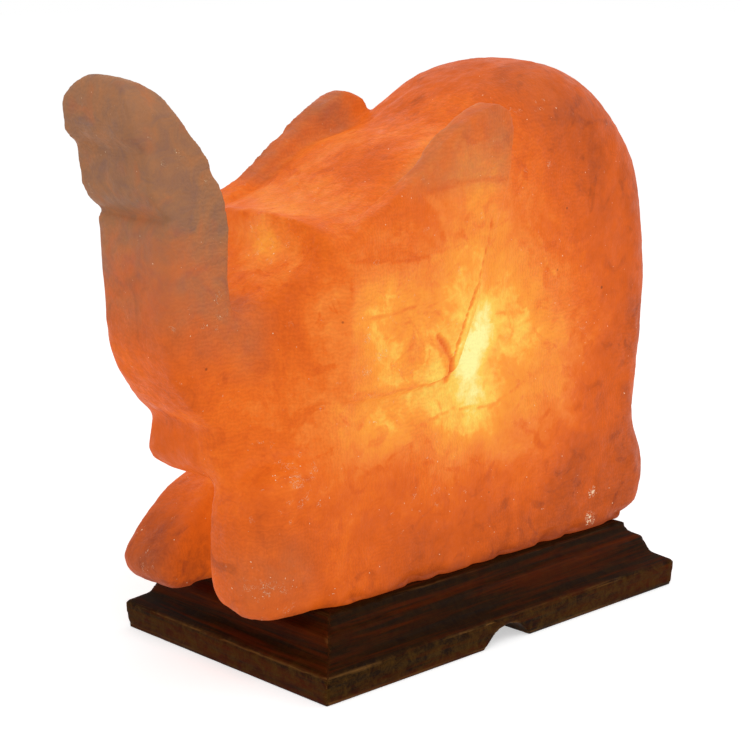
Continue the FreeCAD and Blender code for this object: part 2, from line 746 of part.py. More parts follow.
def holder_sleeve():
    """The outer sleeve, screwed over the cap's neck, which guards the screw shell."""
    skirt = f"({NECK_RADIUS} + [sleeve_wall])"
    mouth = f"({SLEEVE_INSIDE} + [sleeve_mouth_wall])"
    neck_floor = f"{CAP_TOP} - [neck_height]"
    return revolved("holder_sleeve", [
        (NECK_RADIUS, neck_floor), (skirt, neck_floor),
        (skirt, f"{neck_floor} + [sleeve_skirt]"), (mouth, f"{CORE_TOP} + [sleeve_skirt]"),
        (mouth, SLEEVE_TOP), (SLEEVE_INSIDE, SLEEVE_TOP), (SLEEVE_INSIDE, CORE_TOP),
        (NECK_RADIUS, CORE_TOP),
    ])


def contacts():
    """The screw shell, the centre tongue with its rivet and the terminal screws."""
    lip = f"({SHELL_INSIDE} - [shell_lip])"
    revolved("screw_shell", [
        (lip, CORE_TOP), (SHELL_OUTSIDE, CORE_TOP),
        (SHELL_OUTSIDE, f"{CORE_TOP} + [shell_height]"),
        (SHELL_INSIDE, f"{CORE_TOP} + [shell_height]"),
        (SHELL_INSIDE, f"{CORE_TOP} + [shell_thickness]"),
        (lip, f"{CORE_TOP} + [shell_thickness]"),
    ])
    body = doc.addObject("PartDesign::Body", "tongue_blank")
    foot_top = f"({CORE_TOP} + [contact_thickness])"
    tip_floor = f"({EYELET_FLOOR} - [contact_thickness])"
    start = "(-1 * [rivet_head])"
    knee = "([eyelet_radius] + [contact_thickness] * 2)"
    outline = polygon_sketch(body, "XZ_Plane", [
        (start, CORE_TOP), (knee, CORE_TOP), (f"{knee} + [contact_thickness]", foot_top),
        ("[rivet_radius]", EYELET_FLOOR), (start, EYELET_FLOOR), (start, tip_floor),
        ("([rivet_radius] - [contact_thickness])", tip_floor), (knee, foot_top),
        (start, foot_top),
    ])
    padded(body, outline, "[contact_width]")
    cut("centre_contact", body, cylinder("tongue_hole", "[rivet_radius]",
                                         f"{CORE_TOP} - {OVERCUT}", foot_top))
    fuse("contact_rivet",
         cylinder("rivet_shank", "[rivet_radius]", f"{CORE_FLOOR} - [rivet_head_thickness]",
                  foot_top),
         cylinder("rivet_top", "[rivet_head]", foot_top, f"{foot_top} + [rivet_head_thickness]"),
         cylinder("rivet_foot", "[rivet_head]", f"{CORE_FLOOR} - [rivet_head_thickness]",
                  CORE_FLOOR))
    group("terminal_screws", [
        cut(f"terminal_{side}", fuse(
            f"terminal_blank_{side}",
            cylinder(f"terminal_shank_{side}", "[terminal_radius]", CORE_FLOOR,
                     f"{CORE_FLOOR} + [terminal_length]", x),
            cylinder(f"terminal_head_{side}", "[terminal_head]",
                     f"{CORE_FLOOR} - [terminal_head_thickness]", CORE_FLOOR, x)),
            block(f"terminal_slot_{side}", x, "0", f"{CORE_FLOOR} - [terminal_head_thickness]",
                  "[terminal_head] * 2", "[cross_width]", "[cross_width]"))
        for side, x in TERMINALS])


# ---------------------------------------------------------------------------------------
# Bulb, upright in the holder
# ---------------------------------------------------------------------------------------
def bulb_form(label, shrink):
    """The bulb's candle form, drawn in by a thickness: two balls, two tapers and a neck."""
    ball = f"([bulb_radius] - {shrink})"
    tip = f"([bulb_tip_radius] - {shrink})"
    neck = f"([bulb_neck_radius] - {shrink})"
    shoulder = "([bulb_shoulder_angle] * 1 deg)"
    drop = f"(([bulb_radius] / cos{shoulder} - [bulb_neck_radius]) / tan{shoulder})"
    centre = f"({NECK_TOP} + {drop})"
    sine = "(([bulb_radius] - [bulb_tip_radius]) / [bulb_tip_rise])"
    cosine = f"sqrt(1 - {sine} ^ 2)"
    belly = doc.addObject("Part::Sphere", f"{label}_belly")
    bind(belly, Radius=ball, Placement__Base__z=centre)
    point = doc.addObject("Part::Sphere", f"{label}_point")
    bind(point, Radius=tip, Placement__Base__z=f"{centre} + [bulb_tip_rise]")
    upper = cone(f"{label}_upper", f"{ball} * {cosine}", f"{tip} * {cosine}",
                 f"{centre} + {ball} * {sine}", f"{centre} + [bulb_tip_rise] + {tip} * {sine}")
    throat = f"({centre} - ({ball} / cos{shoulder} - {neck}) / tan{shoulder})"
    lower = cone(f"{label}_lower", neck, f"{ball} * cos{shoulder}", throat,
                 f"{centre} - {ball} * sin{shoulder}")
    tube = cylinder(f"{label}_neck", neck, GLASS_FLOOR, throat)
    return fuse(label, belly, point, upper, lower, tube)


def bulb():
    """The glass, the screw cap with its insulator and eyelet, and the mount inside."""
    wall = "[glass_thickness]"
    inner_neck = f"([bulb_neck_radius] - {wall})"
    mouth = cylinder("glass_mouth", inner_neck, f"{GLASS_FLOOR} - {OVERCUT}", NECK_TOP)
    cut("bulb_glass", bulb_form("glass_outside", "0"), bulb_form("glass_inside", wall), mouth)
    cap_inside = "([bulb_cap_radius] - [bulb_cap_wall])"
    revolved("bulb_cap", [
        ("[bulb_cap_radius]", BULB_CAP_FLOOR), ("[bulb_cap_radius]", BULB_CAP_TOP),
        (cap_inside, BULB_CAP_TOP), (cap_inside, f"{BULB_CAP_FLOOR} + [bulb_cap_wall]"),
        ("[bulb_cap_opening]", f"{BULB_CAP_FLOOR} + [bulb_cap_wall]"),
        ("[bulb_cap_opening]", BULB_CAP_FLOOR),
    ])
    revolved("bulb_insulator", [
        ("[insulator_bore]", INSULATOR_FLOOR), ("[insulator_foot]", INSULATOR_FLOOR),
        ("[insulator_shoulder]", BULB_CAP_FLOOR), ("[insulator_bore]", BULB_CAP_FLOOR),
    ])
    revolved("bulb_eyelet", [
        ("0", EYELET_FLOOR), ("[eyelet_face]", EYELET_FLOOR),
        ("[eyelet_radius]", f"{EYELET_FLOOR} + [eyelet_height] / 2"),
        ("[eyelet_radius]", INSULATOR_FLOOR), ("0", INSULATOR_FLOOR),
    ])
    flare = f"({inner_neck} - [stem_foot_gap])"
    revolved("bulb_stem", [
        ("0", GLASS_FLOOR), (flare, GLASS_FLOOR), (flare, f"{GLASS_FLOOR} + {wall}"),
        ("[stem_radius]", f"{GLASS_FLOOR} + [bulb_neck_entry]"), ("[stem_radius]", STEM_TOP),
        ("0", STEM_TOP),
    ])
    group("bulb_leads", [lead_wire(name, side) for name, side in (("left", -1), ("right", 1))])
    filament = doc.addObject("Part::Cylinder", "bulb_filament")
    filament.Placement.Rotation = FreeCAD.Rotation(FreeCAD.Vector(0, 1, 0), 90)
    bind(filament, Radius="[filament_radius]", Height="[filament_span]")
    bind(filament, Placement__Base__x="-1 * [filament_span] / 2")
    bind(filament, Placement__Base__z=f"{LEAD_TOP} - [lead_end] / 2")


def lead_wire(name, side):
    """One wire from the stem out to an end of the filament."""
    body = doc.addObject("PartDesign::Body", f"lead_{name}")
    low = "[lead_gap] / 2"
    high = "[filament_span] / 2"
    bend = f"{LEAD_TOP} - [lead_end]"
    route = [(low, STEM_TOP), (f"{low} + [lead_width]", STEM_TOP),
             (f"{high} + [lead_width]", bend), (f"{high} + [lead_width]", LEAD_TOP),
             (high, LEAD_TOP), (high, bend)]
    outline = polygon_sketch(body, "XZ_Plane", [(f"{side} * ({x})", z) for x, z in route])
    padded(body, outline, "[lead_width]")
    return body


doc.recompute()
wooden_base()
salt_elephant()
fasteners()
clip_plate()
wing_spring()
nipple_parts()
holder_cap()
holder_core()
holder_sleeve()
contacts()
bulb()
doc.recompute()

SUBPARTS = [
    "wooden_base", "salt_elephant", "base_screws", "base_washers", "salt_plugs", "clip_plate",
    "wing_spring", "hollow_nipple", "lock_washer", "nipple_nut", "holder_cap", "holder_core",
    "holder_sleeve", "screw_shell", "centre_contact", "contact_rivet", "terminal_screws",
    "bulb_glass", "bulb_cap", "bulb_insulator", "bulb_eyelet", "bulb_stem", "bulb_leads",
    "bulb_filament",
]

# ---------------------------------------------------------------------------------------
# Test every object, then write each sub-part
# ---------------------------------------------------------------------------------------
for item in doc.Objects:
    bad = {"Invalid", "Error"} & set(item.State)
    if bad:
        raise RuntimeError(f"{item.Label} failed: {sorted(bad)}")
for node in SUBPARTS:
    shape = doc.getObjectsByLabel(node)[0].Shape
    if shape.isNull() or not shape.isValid() or not shape.Solids:
        raise RuntimeError(f"{node} has no sound solid")
    shape.exportStep(f"parts/{node}.step")
    box = shape.BoundBox
    print(f"{node}: {len(shape.Solids)} solids, {shape.Volume:.1f} mm3, "
          f"x {box.XMin:.1f}..{box.XMax:.1f}, y {box.YMin:.1f}..{box.YMax:.1f}, "
          f"z {box.ZMin:.1f}..{box.ZMax:.1f}")
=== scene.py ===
"""A lit salt lamp: rock salt carved as an elephant, glowing on a dark moulded wooden base.

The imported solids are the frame. The salt and the wood get dense skins that are carved,
chipped and worn in code, the bulb's cap, its shell and the nipple get real threads, and
every piece gets the finish of its own material.
"""

import logging
import math
from dataclasses import dataclass, field
from enum import Enum

import bmesh
import bpy
import numpy as np
from mathutils import Matrix, Vector, noise
from mathutils.bvhtree import BVHTree


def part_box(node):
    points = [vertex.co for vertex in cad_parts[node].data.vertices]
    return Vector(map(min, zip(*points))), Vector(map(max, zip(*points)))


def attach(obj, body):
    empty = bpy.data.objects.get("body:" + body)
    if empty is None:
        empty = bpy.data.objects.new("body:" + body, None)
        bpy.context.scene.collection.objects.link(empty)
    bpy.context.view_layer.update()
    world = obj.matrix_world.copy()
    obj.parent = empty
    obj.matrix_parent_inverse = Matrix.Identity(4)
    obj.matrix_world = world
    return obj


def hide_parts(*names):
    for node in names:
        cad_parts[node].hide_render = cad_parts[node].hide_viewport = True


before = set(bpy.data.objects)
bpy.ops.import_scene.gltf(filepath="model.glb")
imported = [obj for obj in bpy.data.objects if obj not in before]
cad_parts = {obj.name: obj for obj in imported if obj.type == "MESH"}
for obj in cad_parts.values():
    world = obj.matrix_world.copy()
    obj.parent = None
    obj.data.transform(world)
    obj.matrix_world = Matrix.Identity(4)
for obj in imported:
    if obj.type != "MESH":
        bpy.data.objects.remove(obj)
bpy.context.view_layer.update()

MM = 0.001
LOG = logging.getLogger("salt_lamp")

Colour = tuple[float, float, float, float]


# --------------------------------------------------------------------------------------
# Colours and nodes
# --------------------------------------------------------------------------------------
def linear(hex_colour: str) -> Colour:
    """Turn an sRGB hex colour into the linear one that the shaders take.

    Args:
        hex_colour: Six hex digits after a hash sign.

    Returns:
        Red, green, blue and an alpha of 1, linear.
    """
    parts = [int(hex_colour[place:place + 2], 16) / 255 for place in (1, 3, 5)]
    straight = [c / 12.92 if c <= 0.04045 else ((c + 0.055) / 1.055) ** 2.4 for c in parts]
    return (*straight, 1.0)


def add_node(tree: bpy.types.NodeTree, kind: str, inputs: dict | None = None,
             **settings: object) -> bpy.types.Node:
    """Add one shader node with its settings and links.

    Args:
        tree: The node tree that gets the node.
        kind: The node's type name without its ShaderNode prefix.
        inputs: Value, or output socket to link, for each input's name or number.
        settings: Properties of the node itself.

    Returns:
        The new node.
    """
    node = tree.nodes.new("ShaderNode" + kind)
    for name, value in settings.items():
        setattr(node, name, value)
    for key, value in (inputs or {}).items():
        if isinstance(value, bpy.types.NodeSocket):
            tree.links.new(value, node.inputs[key])
        else:
            node.inputs[key].default_value = value
    return node


def ramp(tree: bpy.types.NodeTree, source: bpy.types.NodeSocket,
         stops: list[tuple[float, str]]) -> bpy.types.NodeSocket:
    """Colour a value by a ramp.

    Args:
        tree: The node tree.
        source: The value, from 0 to 1.
        stops: Place and sRGB hex colour of each stop, in order.

    Returns:
        The ramp's colour socket.
    """
    node = add_node(tree, "ValToRGB", {"Fac": source})
    elements = node.color_ramp.elements
    while len(elements) < len(stops):
        elements.new(0.5)
    for element, (place, shade) in zip(elements, stops):
        element.position = place
        element.color = linear(shade)
    return node.outputs["Color"]


def scaled(tree: bpy.types.NodeTree, source: bpy.types.NodeSocket, low: float, high: float,
           new_low: float = 0.0, new_high: float = 1.0) -> bpy.types.NodeSocket:
    """Map a value's range onto another and clamp it there.

    Args:
        tree: The node tree.
        source: The value.
        low: What becomes new_low.
        high: What becomes new_high.
        new_low: The new range's start.
        new_high: The new range's end.

    Returns:
        The mapped value's socket.
    """
    return add_node(tree, "MapRange", {
        "Value": source, "From Min": low, "From Max": high,
        "To Min": new_low, "To Max": new_high}).outputs["Result"]


def mixed(tree: bpy.types.NodeTree, share: object, first: object,
          second: object, blend: str = "MIX") -> bpy.types.NodeSocket:
    """Mix two colours.

    Args:
        tree: The node tree.
        share: How much of the second, a number or a socket.
        first: The first colour or socket.
        second: The second colour or socket.
        blend: The mix's blend type.

    Returns:
        The mixed colour's socket.
    """
    node = add_node(tree, "Mix", {0: share, 6: first, 7: second},
                    data_type="RGBA", blend_type=blend)
    return node.outputs[2]


def maths(tree: bpy.types.NodeTree, operation: str, first: object,
          second: object) -> bpy.types.NodeSocket:
    """Combine two numbers, each a value or a socket, and give the result's socket."""
    return add_node(tree, "Math", {0: first, 1: second}, operation=operation).outputs[0]


def blank_material(name: str) -> tuple[bpy.types.Material, bpy.types.NodeTree, bpy.types.Node]:
    """Make a material with a bare Principled shader.

    Args:
        name: The material's name.

    Returns:
        The material, its node tree and the shader node.
    """
    material = bpy.data.materials.new(name)
    material.use_nodes = True
    tree = material.node_tree
    tree.nodes.clear()
    shader = add_node(tree, "BsdfPrincipled")
    add_node(tree, "OutputMaterial", {"Surface": shader.outputs[0]})
    return material, tree, shader


def noise_value(tree: bpy.types.NodeTree, point: bpy.types.NodeSocket, size_mm: float,
                detail: float = 2.0, roughness: float = 0.5,
                distortion: float = 0.0) -> bpy.types.NodeSocket:
    """Add a noise whose lumps have a real size.

    Args:
        tree: The node tree.
        point: The place in metres.
        size_mm: The lumps' size in millimetres.
        detail: Octaves of finer lumps.
        roughness: How strong the finer lumps are.
        distortion: How far the lumps are bent.

    Returns:
        The noise's value socket.
    """
    return add_node(tree, "TexNoise", {
        "Vector": point, "Scale": 1 / (size_mm * MM), "Detail": detail,
        "Roughness": roughness, "Distortion": distortion}).outputs[0]


def object_point(tree: bpy.types.NodeTree,
                 stretch: tuple[float, float, float] = (1, 1, 1)) -> bpy.types.NodeSocket:
    """The surface's place in the row frame, squeezed along the axes that stretch names."""
    place = add_node(tree, "TexCoord").outputs["Object"]
    return add_node(tree, "Mapping", {"Vector": place, "Scale": stretch}).outputs[0]


def attribute(tree: bpy.types.NodeTree, name: str) -> bpy.types.NodeSocket:
    """A number that the mesh stores at each point."""
    return add_node(tree, "Attribute", attribute_name=name).outputs["Fac"]


def centred(tree: bpy.types.NodeTree, source: bpy.types.NodeSocket,
            reach: float) -> bpy.types.NodeSocket:
    """Shift a noise to swing about 0, and scale its swing."""
    return maths(tree, "MULTIPLY", maths(tree, "SUBTRACT", source, 0.5), reach)


def bumped(tree: bpy.types.NodeTree, height: bpy.types.NodeSocket, depth_mm: float,
           normal: bpy.types.NodeSocket | None = None) -> bpy.types.NodeSocket:
    """Raise a surface by a height from 0 to 1.

    Args:
        tree: The node tree.
        height: The height's socket.
        depth_mm: How deep the relief is, in millimetres.
        normal: A coarser relief's normal to build on.

    Returns:
        The new normal's socket.
    """
    inputs = {"Height": height, "Distance": depth_mm * MM, "Strength": 1.0}
    if normal is not None:
        inputs["Normal"] = normal
    return add_node(tree, "Bump", inputs).outputs[0]


# --------------------------------------------------------------------------------------
# Finishes
# --------------------------------------------------------------------------------------
class Grain(Enum):
    """How a small piece's surface was made, which gives its fine pattern a direction."""

    MOTTLED = (1.0, 1.0, 1.0)
    TURNED = (0.12, 0.12, 1.0)
    ROLLED = (0.15, 1.0, 1.0)


@dataclass(frozen=True)
class PlainFinish:
    """A small piece's finish: two close colours, a fine pattern and its relief."""

    name: str
    light: str
    dark: str
    metallic: float
    roughness: tuple[float, float]
    grain: Grain = Grain.MOTTLED
    grain_mm: float = 0.8
    relief_mm: float = 0.01

    def material(self) -> bpy.types.Material:
        """Build the material."""
        material, tree, shader = blank_material(self.name)
        point = object_point(tree, self.grain.value)
        fine = noise_value(tree, point, self.grain_mm, 3.0)
        broad = noise_value(tree, object_point(tree), self.grain_mm * 12, 2.0)
        share = maths(tree, "MULTIPLY", fine, broad)
        colour = mixed(tree, scaled(tree, share, 0.15, 0.4), linear(self.dark),
                       linear(self.light))
        low, high = self.roughness
        tree.links.new(colour, shader.inputs["Base Color"])
        tree.links.new(scaled(tree, broad, 0.3, 0.7, low, high), shader.inputs["Roughness"])
        tree.links.new(bumped(tree, fine, self.relief_mm), shader.inputs["Normal"])
        shader.inputs["Metallic"].default_value = self.metallic
        return material


@dataclass(frozen=True)
class RockSalt:
    """Rock salt, sawn from a boulder and filed, lit from inside.

    The salt scatters light and swallows blue first. So the surface is yellow white where
    little salt lies between it and the bulb, orange further off and brick red far off.
    The depth attribute holds that distance as a share, and the pale attribute marks milky
    salt that the bulb hardly reaches, which shows its own brownish pink.
    """

    name: str = "rock_salt_sawn_and_filed"
    saw_pitch_mm: float = 1.5
    crystal_mm: float = 4.5
    cloud_mm: float = 32.0
    vein_mm: float = 17.0
    own_share: float = 0.3
    glow_share: float = 0.74
    glow: tuple[tuple[float, str], ...] = (
        (0.00, "#FFF6A0"), (0.06, "#FCCE58"), (0.14, "#FD9C38"), (0.26, "#F28030"),
        (0.38, "#E86B1C"), (0.50, "#DC6018"), (0.65, "#CE5816"), (0.80, "#B84E16"),
        (1.00, "#963E1A"))
    milky: tuple[tuple[float, str], ...] = (
        (0.3, "#8C6450"), (0.5, "#9C6C4C"), (0.7, "#AA7048"))

    def depth(self, tree: bpy.types.NodeTree,
              point: bpy.types.NodeSocket) -> bpy.types.NodeSocket:
        """The stored depth, clouded by crystals and veins and raised by the painted shade in the
        cracks.

        Args:
            tree: The node tree.
            point: The place in metres.

        Returns:
            The clouded depth's socket.
        """
        stored = attribute(tree, "depth")
        clouds = centred(tree, noise_value(tree, point, self.cloud_mm, 4.0, 0.6, 0.8), 0.66)
        crystals = centred(tree, noise_value(tree, point, self.crystal_mm, 4.0, 0.65, 0.5),
                           0.3)
        vein = noise_value(tree, point, self.vein_mm, 6.0, 0.6, 1.6)
        veins = scaled(tree, vein, 0.56, 0.68, 0.0, 0.16)
        wavering = maths(tree, "ADD", maths(tree, "ADD", clouds, crystals), veins)
        strength = scaled(tree, stored, 0.0, 0.5, 0.3, 1.0)
        clouded = maths(tree, "ADD", stored, maths(tree, "MULTIPLY", wavering, strength))
        # Painted shade in the cracks: their glow is drawn darker.
        painted_crack_shade = maths(tree, "MULTIPLY", attribute(tree, "crack_shading"), 0.34)
        return maths(tree, "ADD", clouded, painted_crack_shade)

    def saw_marks(self, tree: bpy.types.NodeTree) -> bpy.types.NodeSocket:
        """Fine crossed lines that the saw and the file left, in patches."""
        marks = None
        for direction, pitch in (("X", self.saw_pitch_mm), ("Z", self.saw_pitch_mm * 1.3)):
            wave = add_node(tree, "TexWave", {
                "Vector": object_point(tree), "Scale": 0.314 / (pitch * MM),
                "Distortion": 9.0, "Detail": 3.0, "Detail Scale": 2.0},
                bands_direction=direction).outputs[1]
            patch = noise_value(tree, object_point(tree), 30.0 * pitch, 2.0)
            wave = maths(tree, "MULTIPLY", maths(tree, "SUBTRACT", wave, 0.5),
                         scaled(tree, patch, 0.4, 0.6))
            marks = wave if marks is None else maths(tree, "ADD", marks, wave)
        return maths(tree, "ADD", marks, 0.5)

    def scratches(self, tree: bpy.types.NodeTree,
                  point: bpy.types.NodeSocket) -> bpy.types.NodeSocket:
        """White crazing: thin broken lines and flecks, thickest where frost is stored."""
        frost = attribute(tree, "frost")
        line = noise_value(tree, point, 3.2, 3.0, 0.6, 2.0)
        line = maths(tree, "ABSOLUTE", maths(tree, "SUBTRACT", line, 0.5), 0.0)
        line = scaled(tree, line, 0.004, 0.014, 1.0, 0.0)
        where = maths(tree, "ADD", noise_value(tree, point, 5.0, 2.0),
                      maths(tree, "MULTIPLY", frost, 0.16))
        line = maths(tree, "MULTIPLY", line, scaled(tree, where, 0.69, 0.78))
        fleck = maths(tree, "ADD", noise_value(tree, point, 1.3, 1.0),
                      maths(tree, "MULTIPLY", frost, 0.05))
        return maths(tree, "MAXIMUM", line, scaled(tree, fleck, 0.79, 0.82))

    def milk(self, tree: bpy.types.NodeTree, point: bpy.types.NodeSocket,
             ) -> tuple[bpy.types.NodeSocket, bpy.types.NodeSocket]:
        """How milky the salt is, with a wavering edge, and the milky salt's colour."""
        stored = attribute(tree, "pale")
        veil = centred(tree, noise_value(tree, point, 16.0, 4.0, 0.6, 0.6), 1.0)
        swing = maths(tree, "MULTIPLY", veil, scaled(tree, stored, 0.0, 0.4))
        share = scaled(tree, maths(tree, "ADD", stored, swing), 0.0, 1.0)
        colour = ramp(tree, noise_value(tree, point, 10.0, 5.0, 0.65, 0.8), list(self.milky))
        return share, colour

    def material(self) -> bpy.types.Material:
        """Build the material."""
        material, tree, shader = blank_material(self.name)
        point = object_point(tree)
        marks = self.saw_marks(tree)
        colour = ramp(tree, self.depth(tree, point), list(self.glow))
        pale, milk = self.milk(tree, point)
        colour = mixed(tree, pale, colour, milk)
        lines = scaled(tree, marks, 0.0, 1.0, 0.95, 1.045)
        colour = mixed(tree, 1.0, colour, lines, "MULTIPLY")
        pits = add_node(tree, "TexVoronoi", {"Vector": point, "Scale": 1 / (24 * MM),
                                             "Randomness": 1.0}).outputs["Distance"]
        pits = scaled(tree, pits, 0.02, 0.035, 0.6, 0.0)
        colour = mixed(tree, pits, colour, linear("#5A2A14"))
        scratches = self.scratches(tree, point)
        lit = mixed(tree, maths(tree, "MULTIPLY", scratches, 0.8), colour,
                    linear("#FAD9B4"))

        own = scaled(tree, pale, 0.0, 1.0, self.own_share, 1.0)
        tree.links.new(mixed(tree, 1.0, lit, own, "MULTIPLY"), shader.inputs["Base Color"])
        tree.links.new(lit, shader.inputs["Emission Color"])
        tree.links.new(scaled(tree, pale, 0.0, 1.0, self.glow_share, 0.16),
                       shader.inputs["Emission Strength"])
        rough = noise_value(tree, point, 7.0, 3.0)
        tree.links.new(scaled(tree, rough, 0.3, 0.7, 0.42, 0.68), shader.inputs["Roughness"])
        relief = bumped(tree, noise_value(tree, point, 4.0, 5.0, 0.6), 0.6)
        relief = bumped(tree, marks, 0.05, relief)
        tree.links.new(bumped(tree, scratches, 0.15, relief), shader.inputs["Normal"])
        shader.inputs["IOR"].default_value = 1.54
        shader.inputs["Specular IOR Level"].default_value = 0.12
        return material


@dataclass(frozen=True)
class StainedWood:
    """Hardwood with a dark walnut stain, rubbed through to gold along its edges."""

    name: str = "hardwood_dark_stained_and_waxed"
    streak_mm: float = 2.2
    streak_length: float = 22.0

    def material(self) -> bpy.types.Material:
        """Build the material."""
        material, tree, shader = blank_material(self.name)
        mitre = attribute(tree, "mitre")
        along = object_point(tree, (1 / self.streak_length, 1.0, 1.0))
        across = object_point(tree, (1.0, 1 / self.streak_length, 1.0))
        grain = add_node(tree, "Mix", {0: mitre, 4: along, 5: across},
                         data_type="VECTOR").outputs[1]
        streaks = noise_value(tree, grain, self.streak_mm, 5.0, 0.62, 0.4)
        broad = noise_value(tree, grain, self.streak_mm * 5, 3.0, 0.5, 0.3)
        pores = noise_value(tree, grain, 0.7, 2.0, 0.5)
        tone = maths(tree, "ADD", maths(tree, "MULTIPLY", streaks, 0.6),
                     maths(tree, "MULTIPLY", broad, 0.4))
        colour = ramp(tree, scaled(tree, tone, 0.3, 0.7), [
            (0.0, "#0E0400"), (0.35, "#1C0A00"), (0.6, "#3A1200"), (0.85, "#4C1A02"),
            (1.0, "#5C2C08")])
        colour = mixed(tree, scaled(tree, pores, 0.62, 0.75, 0.0, 0.6), colour,
                       linear("#120703"))
        blotch = noise_value(tree, object_point(tree), 5.0, 6.0, 0.8, 0.5)
        blotch = maths(tree, "MULTIPLY", scaled(tree, blotch, 0.4, 0.66),
                       scaled(tree, attribute(tree, "plinth"), 0.0, 1.0, 0.15, 0.85))
        colour = mixed(tree, blotch, colour, linear("#4E340C"))
        dashes = scaled(tree, noise_value(tree, grain, 3.0, 4.0, 0.7), 0.5, 0.62)
        rubbed = maths(tree, "MULTIPLY", attribute(tree, "wear"), dashes)
        colour = mixed(tree, maths(tree, "MULTIPLY", rubbed, 0.6), colour,
                       linear("#8A5E2E"))
        tree.links.new(colour, shader.inputs["Base Color"])
        tree.links.new(scaled(tree, streaks, 0.3, 0.7, 0.5, 0.72),
                       shader.inputs["Roughness"])
        relief = bumped(tree, streaks, 0.25)
        tree.links.new(bumped(tree, pores, 0.08, relief), shader.inputs["Normal"])
        shader.inputs["Specular IOR Level"].default_value = 0.04
        return material


@dataclass(frozen=True)
class BlownGlass:
    """Soda-lime glass, blown thin: clear, smooth and faintly warm, with a painted glow of the
    filament's light.
    """

    name: str
    tint: str = "#FFF4E2"
    painted_glow: float = 0.0

    def material(self) -> bpy.types.Material:
        """Build the material."""
        material, tree, shader = blank_material(self.name)
        ripple = noise_value(tree, object_point(tree), 9.0, 2.0)
        tree.links.new(bumped(tree, ripple, 0.03), shader.inputs["Normal"])
        tree.links.new(scaled(tree, ripple, 0.3, 0.7, 0.02, 0.06), shader.inputs["Roughness"])
        shader.inputs["Base Color"].default_value = linear(self.tint)
        shader.inputs["Transmission Weight"].default_value = 1.0
        shader.inputs["IOR"].default_value = 1.5
        # Painted glow: the glass lit by the filament, drawn as emission.
        shader.inputs["Emission Color"].default_value = linear("#FFB45A")
        shader.inputs["Emission Strength"].default_value = self.painted_glow
        return material


@dataclass(frozen=True)
class GlowingTungsten:
    """Drawn tungsten wire, white hot."""

    name: str = "tungsten_wire_glowing"
    strength: float = 60.0

    def material(self) -> bpy.types.Material:
        """Build the material."""
        material, tree, shader = blank_material(self.name)
        coil = noise_value(tree, object_point(tree), 0.4, 1.0)
        heat = ramp(tree, coil, [(0.3, "#FFB060"), (0.7, "#FFE6B0")])
        tree.links.new(heat, shader.inputs["Emission Color"])
        shader.inputs["Emission Strength"].default_value = self.strength
        shader.inputs["Base Color"].default_value = linear("#8A8780")
        return material


# --------------------------------------------------------------------------------------
# Meshes
# --------------------------------------------------------------------------------------
class Skin:
    """A dense mesh's points and edges as arrays, for carving in code."""

    def __init__(self, mesh: bpy.types.Mesh) -> None:
        """Read the mesh's points and edges."""
        self.mesh = mesh
        count = len(mesh.vertices)
        points = np.empty(count * 3)
        mesh.vertices.foreach_get("co", points)
        self.points = points.reshape(count, 3)
        edges = np.empty(len(mesh.edges) * 2, dtype=np.int64)
        mesh.edges.foreach_get("vertices", edges)
        edges = edges.reshape(-1, 2)
        self.start = np.concatenate([edges[:, 0], edges[:, 1]])
        self.end = np.concatenate([edges[:, 1], edges[:, 0]])
        self.valence = np.maximum(np.bincount(self.start, minlength=count), 1)

    def mean(self, values: np.ndarray) -> np.ndarray:
        """Give each point the mean of its neighbours' values."""
        count = len(self.points)
        if values.ndim == 1:
            return np.bincount(self.start, values[self.end], count) / self.valence
        return np.stack([self.mean(column) for column in values.T], axis=1)

    def smooth(self, passes: int, share: np.ndarray | float = 1.0) -> None:
        """Round the form off.

        Args:
            passes: How many times each point moves halfway to its neighbours' mean.
            share: How far each point takes part, from 0 to 1.
        """
        weight = np.broadcast_to(np.asarray(share, float), len(self.points))[:, None] * 0.5
        for _ in range(passes):
            self.points += (self.mean(self.points) - self.points) * weight

    def normals(self) -> np.ndarray:
        """The outward normal at each point."""
        self.write()
        found = np.empty(len(self.points) * 3, dtype=np.float32)
        self.mesh.vertex_normals.foreach_get("vector", found)
        return found.reshape(-1, 3).astype(float)

    def sharpness(self, passes: int = 2) -> np.ndarray:
        """How far each point stands out of its surroundings along its normal, in metres."""
        around = self.points
        for _ in range(passes):
            around = self.mean(around)
        return np.einsum("ij,ij->i", self.points - around, self.normals())

    def write(self) -> None:
        """Put the points back into the mesh."""
        self.mesh.vertices.foreach_set("co", self.points.ravel())
        self.mesh.update()

    def store(self, name: str, values: np.ndarray) -> None:
        """Keep one number per point on the mesh, for the shaders."""
        layer = self.mesh.attributes.new(name, "FLOAT", "POINT")
        layer.data.foreach_set("value", values.astype(np.float32))


def dense_copy(node: str, name: str, voxel_mm: float) -> bpy.types.Object:
    """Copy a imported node's form into an even, dense mesh.

    Args:
        node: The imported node.
        name: The new piece's name.
        voxel_mm: The new mesh's spacing.

    Returns:
        The new piece.
    """
    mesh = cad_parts[node].data.copy()
    welded = bmesh.new()
    welded.from_mesh(mesh)
    bmesh.ops.remove_doubles(welded, verts=welded.verts, dist=1e-6)
    welded.to_mesh(mesh)
    welded.free()
    piece = bpy.data.objects.new(name, mesh)
    bpy.context.scene.collection.objects.link(piece)
    modifier = piece.modifiers.new("even_grid", "REMESH")
    modifier.mode = "VOXEL"
    modifier.voxel_size = voxel_mm * MM
    graph = bpy.context.evaluated_depsgraph_get()
    dense = bpy.data.meshes.new_from_object(piece.evaluated_get(graph))
    piece.modifiers.clear()
    piece.data = dense
    dense.name = name
    return piece


